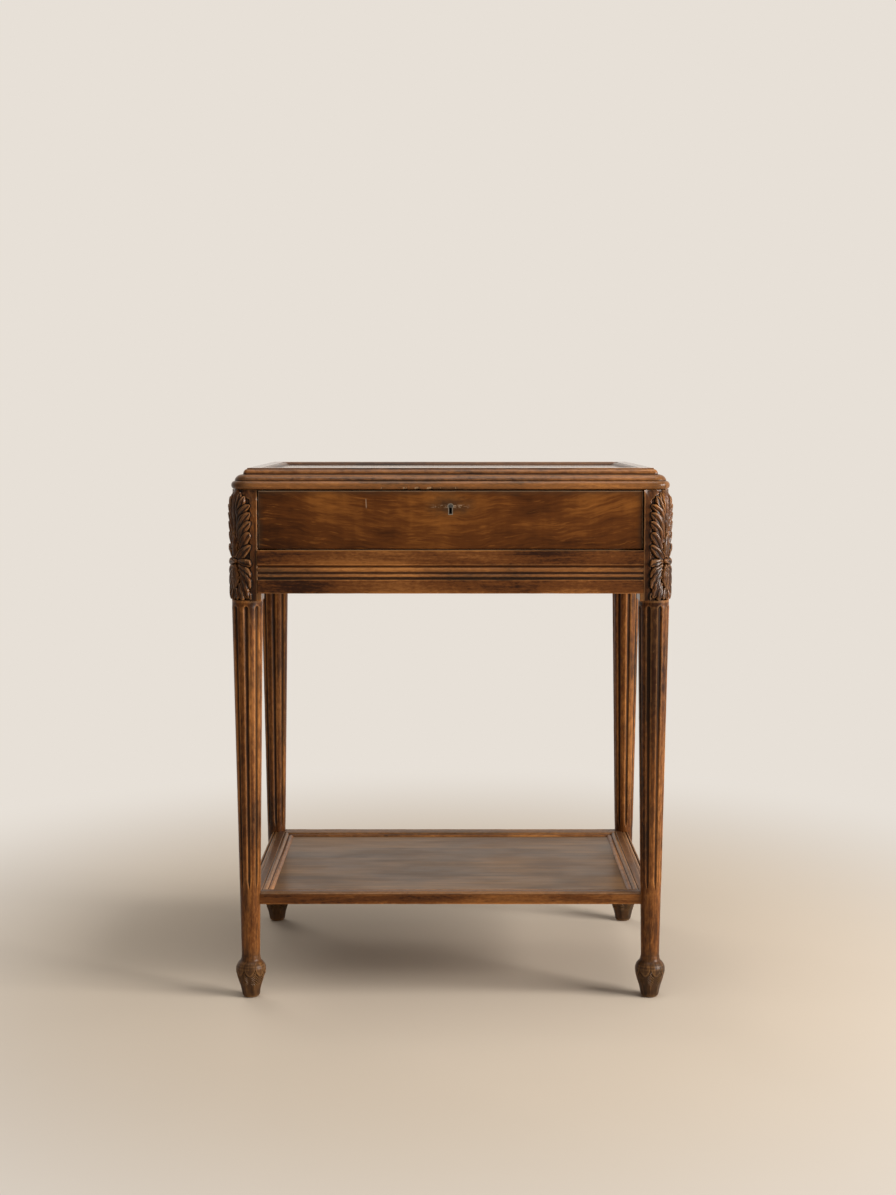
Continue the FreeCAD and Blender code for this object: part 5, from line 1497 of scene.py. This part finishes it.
class DRESSING_TABLE_OT_fittings(bpy.types.Operator):
    """Finish the pieces that keep their shape: panels, drawer, slides, lock, hinges and mirror"""

    bl_idname = "dressing_table.fittings"
    bl_label = "Panels, drawer and fittings"

    def execute(self, context):
        oak = {axis: bare_oak(f"oak_{axis.lower()}", axis, 3 + number)
               for number, axis in enumerate("XY")}
        bead = {axis: walnut(f"walnut_bead_{axis.lower()}", axis, 90 + number)
                for number, axis in enumerate("XY")}
        # each finish, and the nodes that have it
        finishes = (
            (walnut_flame(), ("drawer_front",)),
            (walnut_panel("walnut_lid_panel", 11, 1.0, 0.45), ("lid_panel",)),
            (walnut_panel("walnut_shelf_panel", 12, 0.12, 0.12), ("shelf_panel",)),
            (walnut("walnut_back", "X", 95), ("back_apron",)),
            (bead["X"], ("mirror_front_bead", "mirror_back_bead")),
            (bead["Y"], ("mirror_left_bead", "mirror_right_bead")),
            (oak["X"], ("drawer_back", "drawer_bottom", "shelf_dowels")),
            (oak["Y"], [name.format(side=side) for side in ("left", "right") for name in (
                "{side}_runner", "{side}_guide", "{side}_kicker", "drawer_{side}_side")]),
            (silvered_glass(), ("mirror_glass",)),
            (aged_metal("worn_steel", "steel", "steel stain", 0.34), ("hinge_pins", "lock_bolt")),
            (aged_metal("aged_brass", "brass", "brass stain", 0.32),
             ("lid_hinge_leaves", "case_hinge_leaves", "lid_hinge_screws", "case_hinge_screws",
              "lid_keep_plate", "lock_screws")),
            (aged_metal("blackened_brass", "black brass", "black stain", 0.5), ("lock_case",)),
            (aged_metal("dull_liner", "dull liner", "dull stain", 0.5), ("keyhole_liner",)),
        )
        for material, nodes in finishes:
            for node in nodes:
                mesh = NODES[node].data
                mesh.materials.clear()
                mesh.materials.append(material)
        return {"FINISHED"}


class DRESSING_TABLE_OT_stage(bpy.types.Operator):
    """Set the floor, the backdrop, the lights and the camera"""

    bl_idname = "dressing_table.stage"
    bl_label = "Stage"

    def execute(self, context):
        settings = context.scene.table_stage
        floor = start(bpy.ops.mesh.primitive_circle_add, vertices=96, radius=14, fill_type="NGON")
        floor.name = "floor"
        floor.data.materials.append(fading_floor(settings))
        room_light(context, settings)

        # name, place, share of the window's power and colour
        lamps = (("window", (2.9, -1.35, 1.3), 1.0, (1.0, 0.965, 0.92)),
                 ("ceiling", (0.3, -0.5, 2.9), 0.18, (1.0, 0.98, 0.95)),
                 ("behind", (-1.5, 2.6, 2.0), 0.20, (1.0, 0.97, 0.93)))
        for name, place, share, colour in lamps:
            light = bpy.data.lights.new(name, "AREA")
            light.shape = "RECTANGLE"
            light.size, light.size_y = (1.6, 1.5) if name == "window" else (1.8, 1.4)
            light.energy = settings.key * share
            light.color = colour
            aim = Vector((0, 0, 0.45)) - Vector(place)
            holder = held(context, name, light, place, aim.to_track_quat("-Z", "Y").to_euler())
            # the lamp behind the table is never mirrored in the polish
            holder.visible_glossy = name != "behind"

        camera = bpy.data.cameras.new("camera")
        camera.lens = settings.lens
        camera.sensor_width = 36.0
        camera.sensor_fit = "AUTO"
        turn = (settings.tilt, 0.0, 0.0)
        context.scene.camera = held(context, "camera", camera, settings.eye, turn)
        context.scene.view_settings.view_transform = "Standard"
        return {"FINISHED"}


def held(context, name, data, place, turn):
    """A lamp or a camera at its place."""
    holder = bpy.data.objects.new(name, data)
    context.collection.objects.link(holder)
    holder.location = place
    holder.rotation_euler = turn
    return holder


STEPS = (DRESSING_TABLE_OT_legs, DRESSING_TABLE_OT_rails, DRESSING_TABLE_OT_lid,
         DRESSING_TABLE_OT_shelf, DRESSING_TABLE_OT_fittings, DRESSING_TABLE_OT_stage)


class DRESSING_TABLE_PT_panel(bpy.types.Panel):
    """The table's steps and settings in the sidebar"""

    bl_label = "Dressing Table"
    bl_space_type = "VIEW_3D"
    bl_region_type = "UI"
    bl_category = "Dressing Table"

    def draw(self, context):
        for step in STEPS:
            self.layout.operator(step.bl_idname)
        for name in SETTINGS:
            group = getattr(context.scene, name)
            for key in group.__annotations__:
                self.layout.prop(group, key)


SETTINGS = {"table_legs": TableLegs, "table_bars": TableBars, "table_finish": TableFinish,
            "table_stage": TableStage}


def register():
    for group in (*SETTINGS.values(), *STEPS, DRESSING_TABLE_PT_panel):
        bpy.utils.register_class(group)
    for name, group in SETTINGS.items():
        setattr(bpy.types.Scene, name, PointerProperty(type=group))


def unregister():
    for name in SETTINGS:
        delattr(bpy.types.Scene, name)
    for group in reversed((*SETTINGS.values(), *STEPS, DRESSING_TABLE_PT_panel)):
        bpy.utils.unregister_class(group)


def main():
    register()
    for step in STEPS:
        group, name = step.bl_idname.split(".")
        getattr(getattr(bpy.ops, group), name)()


if __name__ == "__main__":
    main()
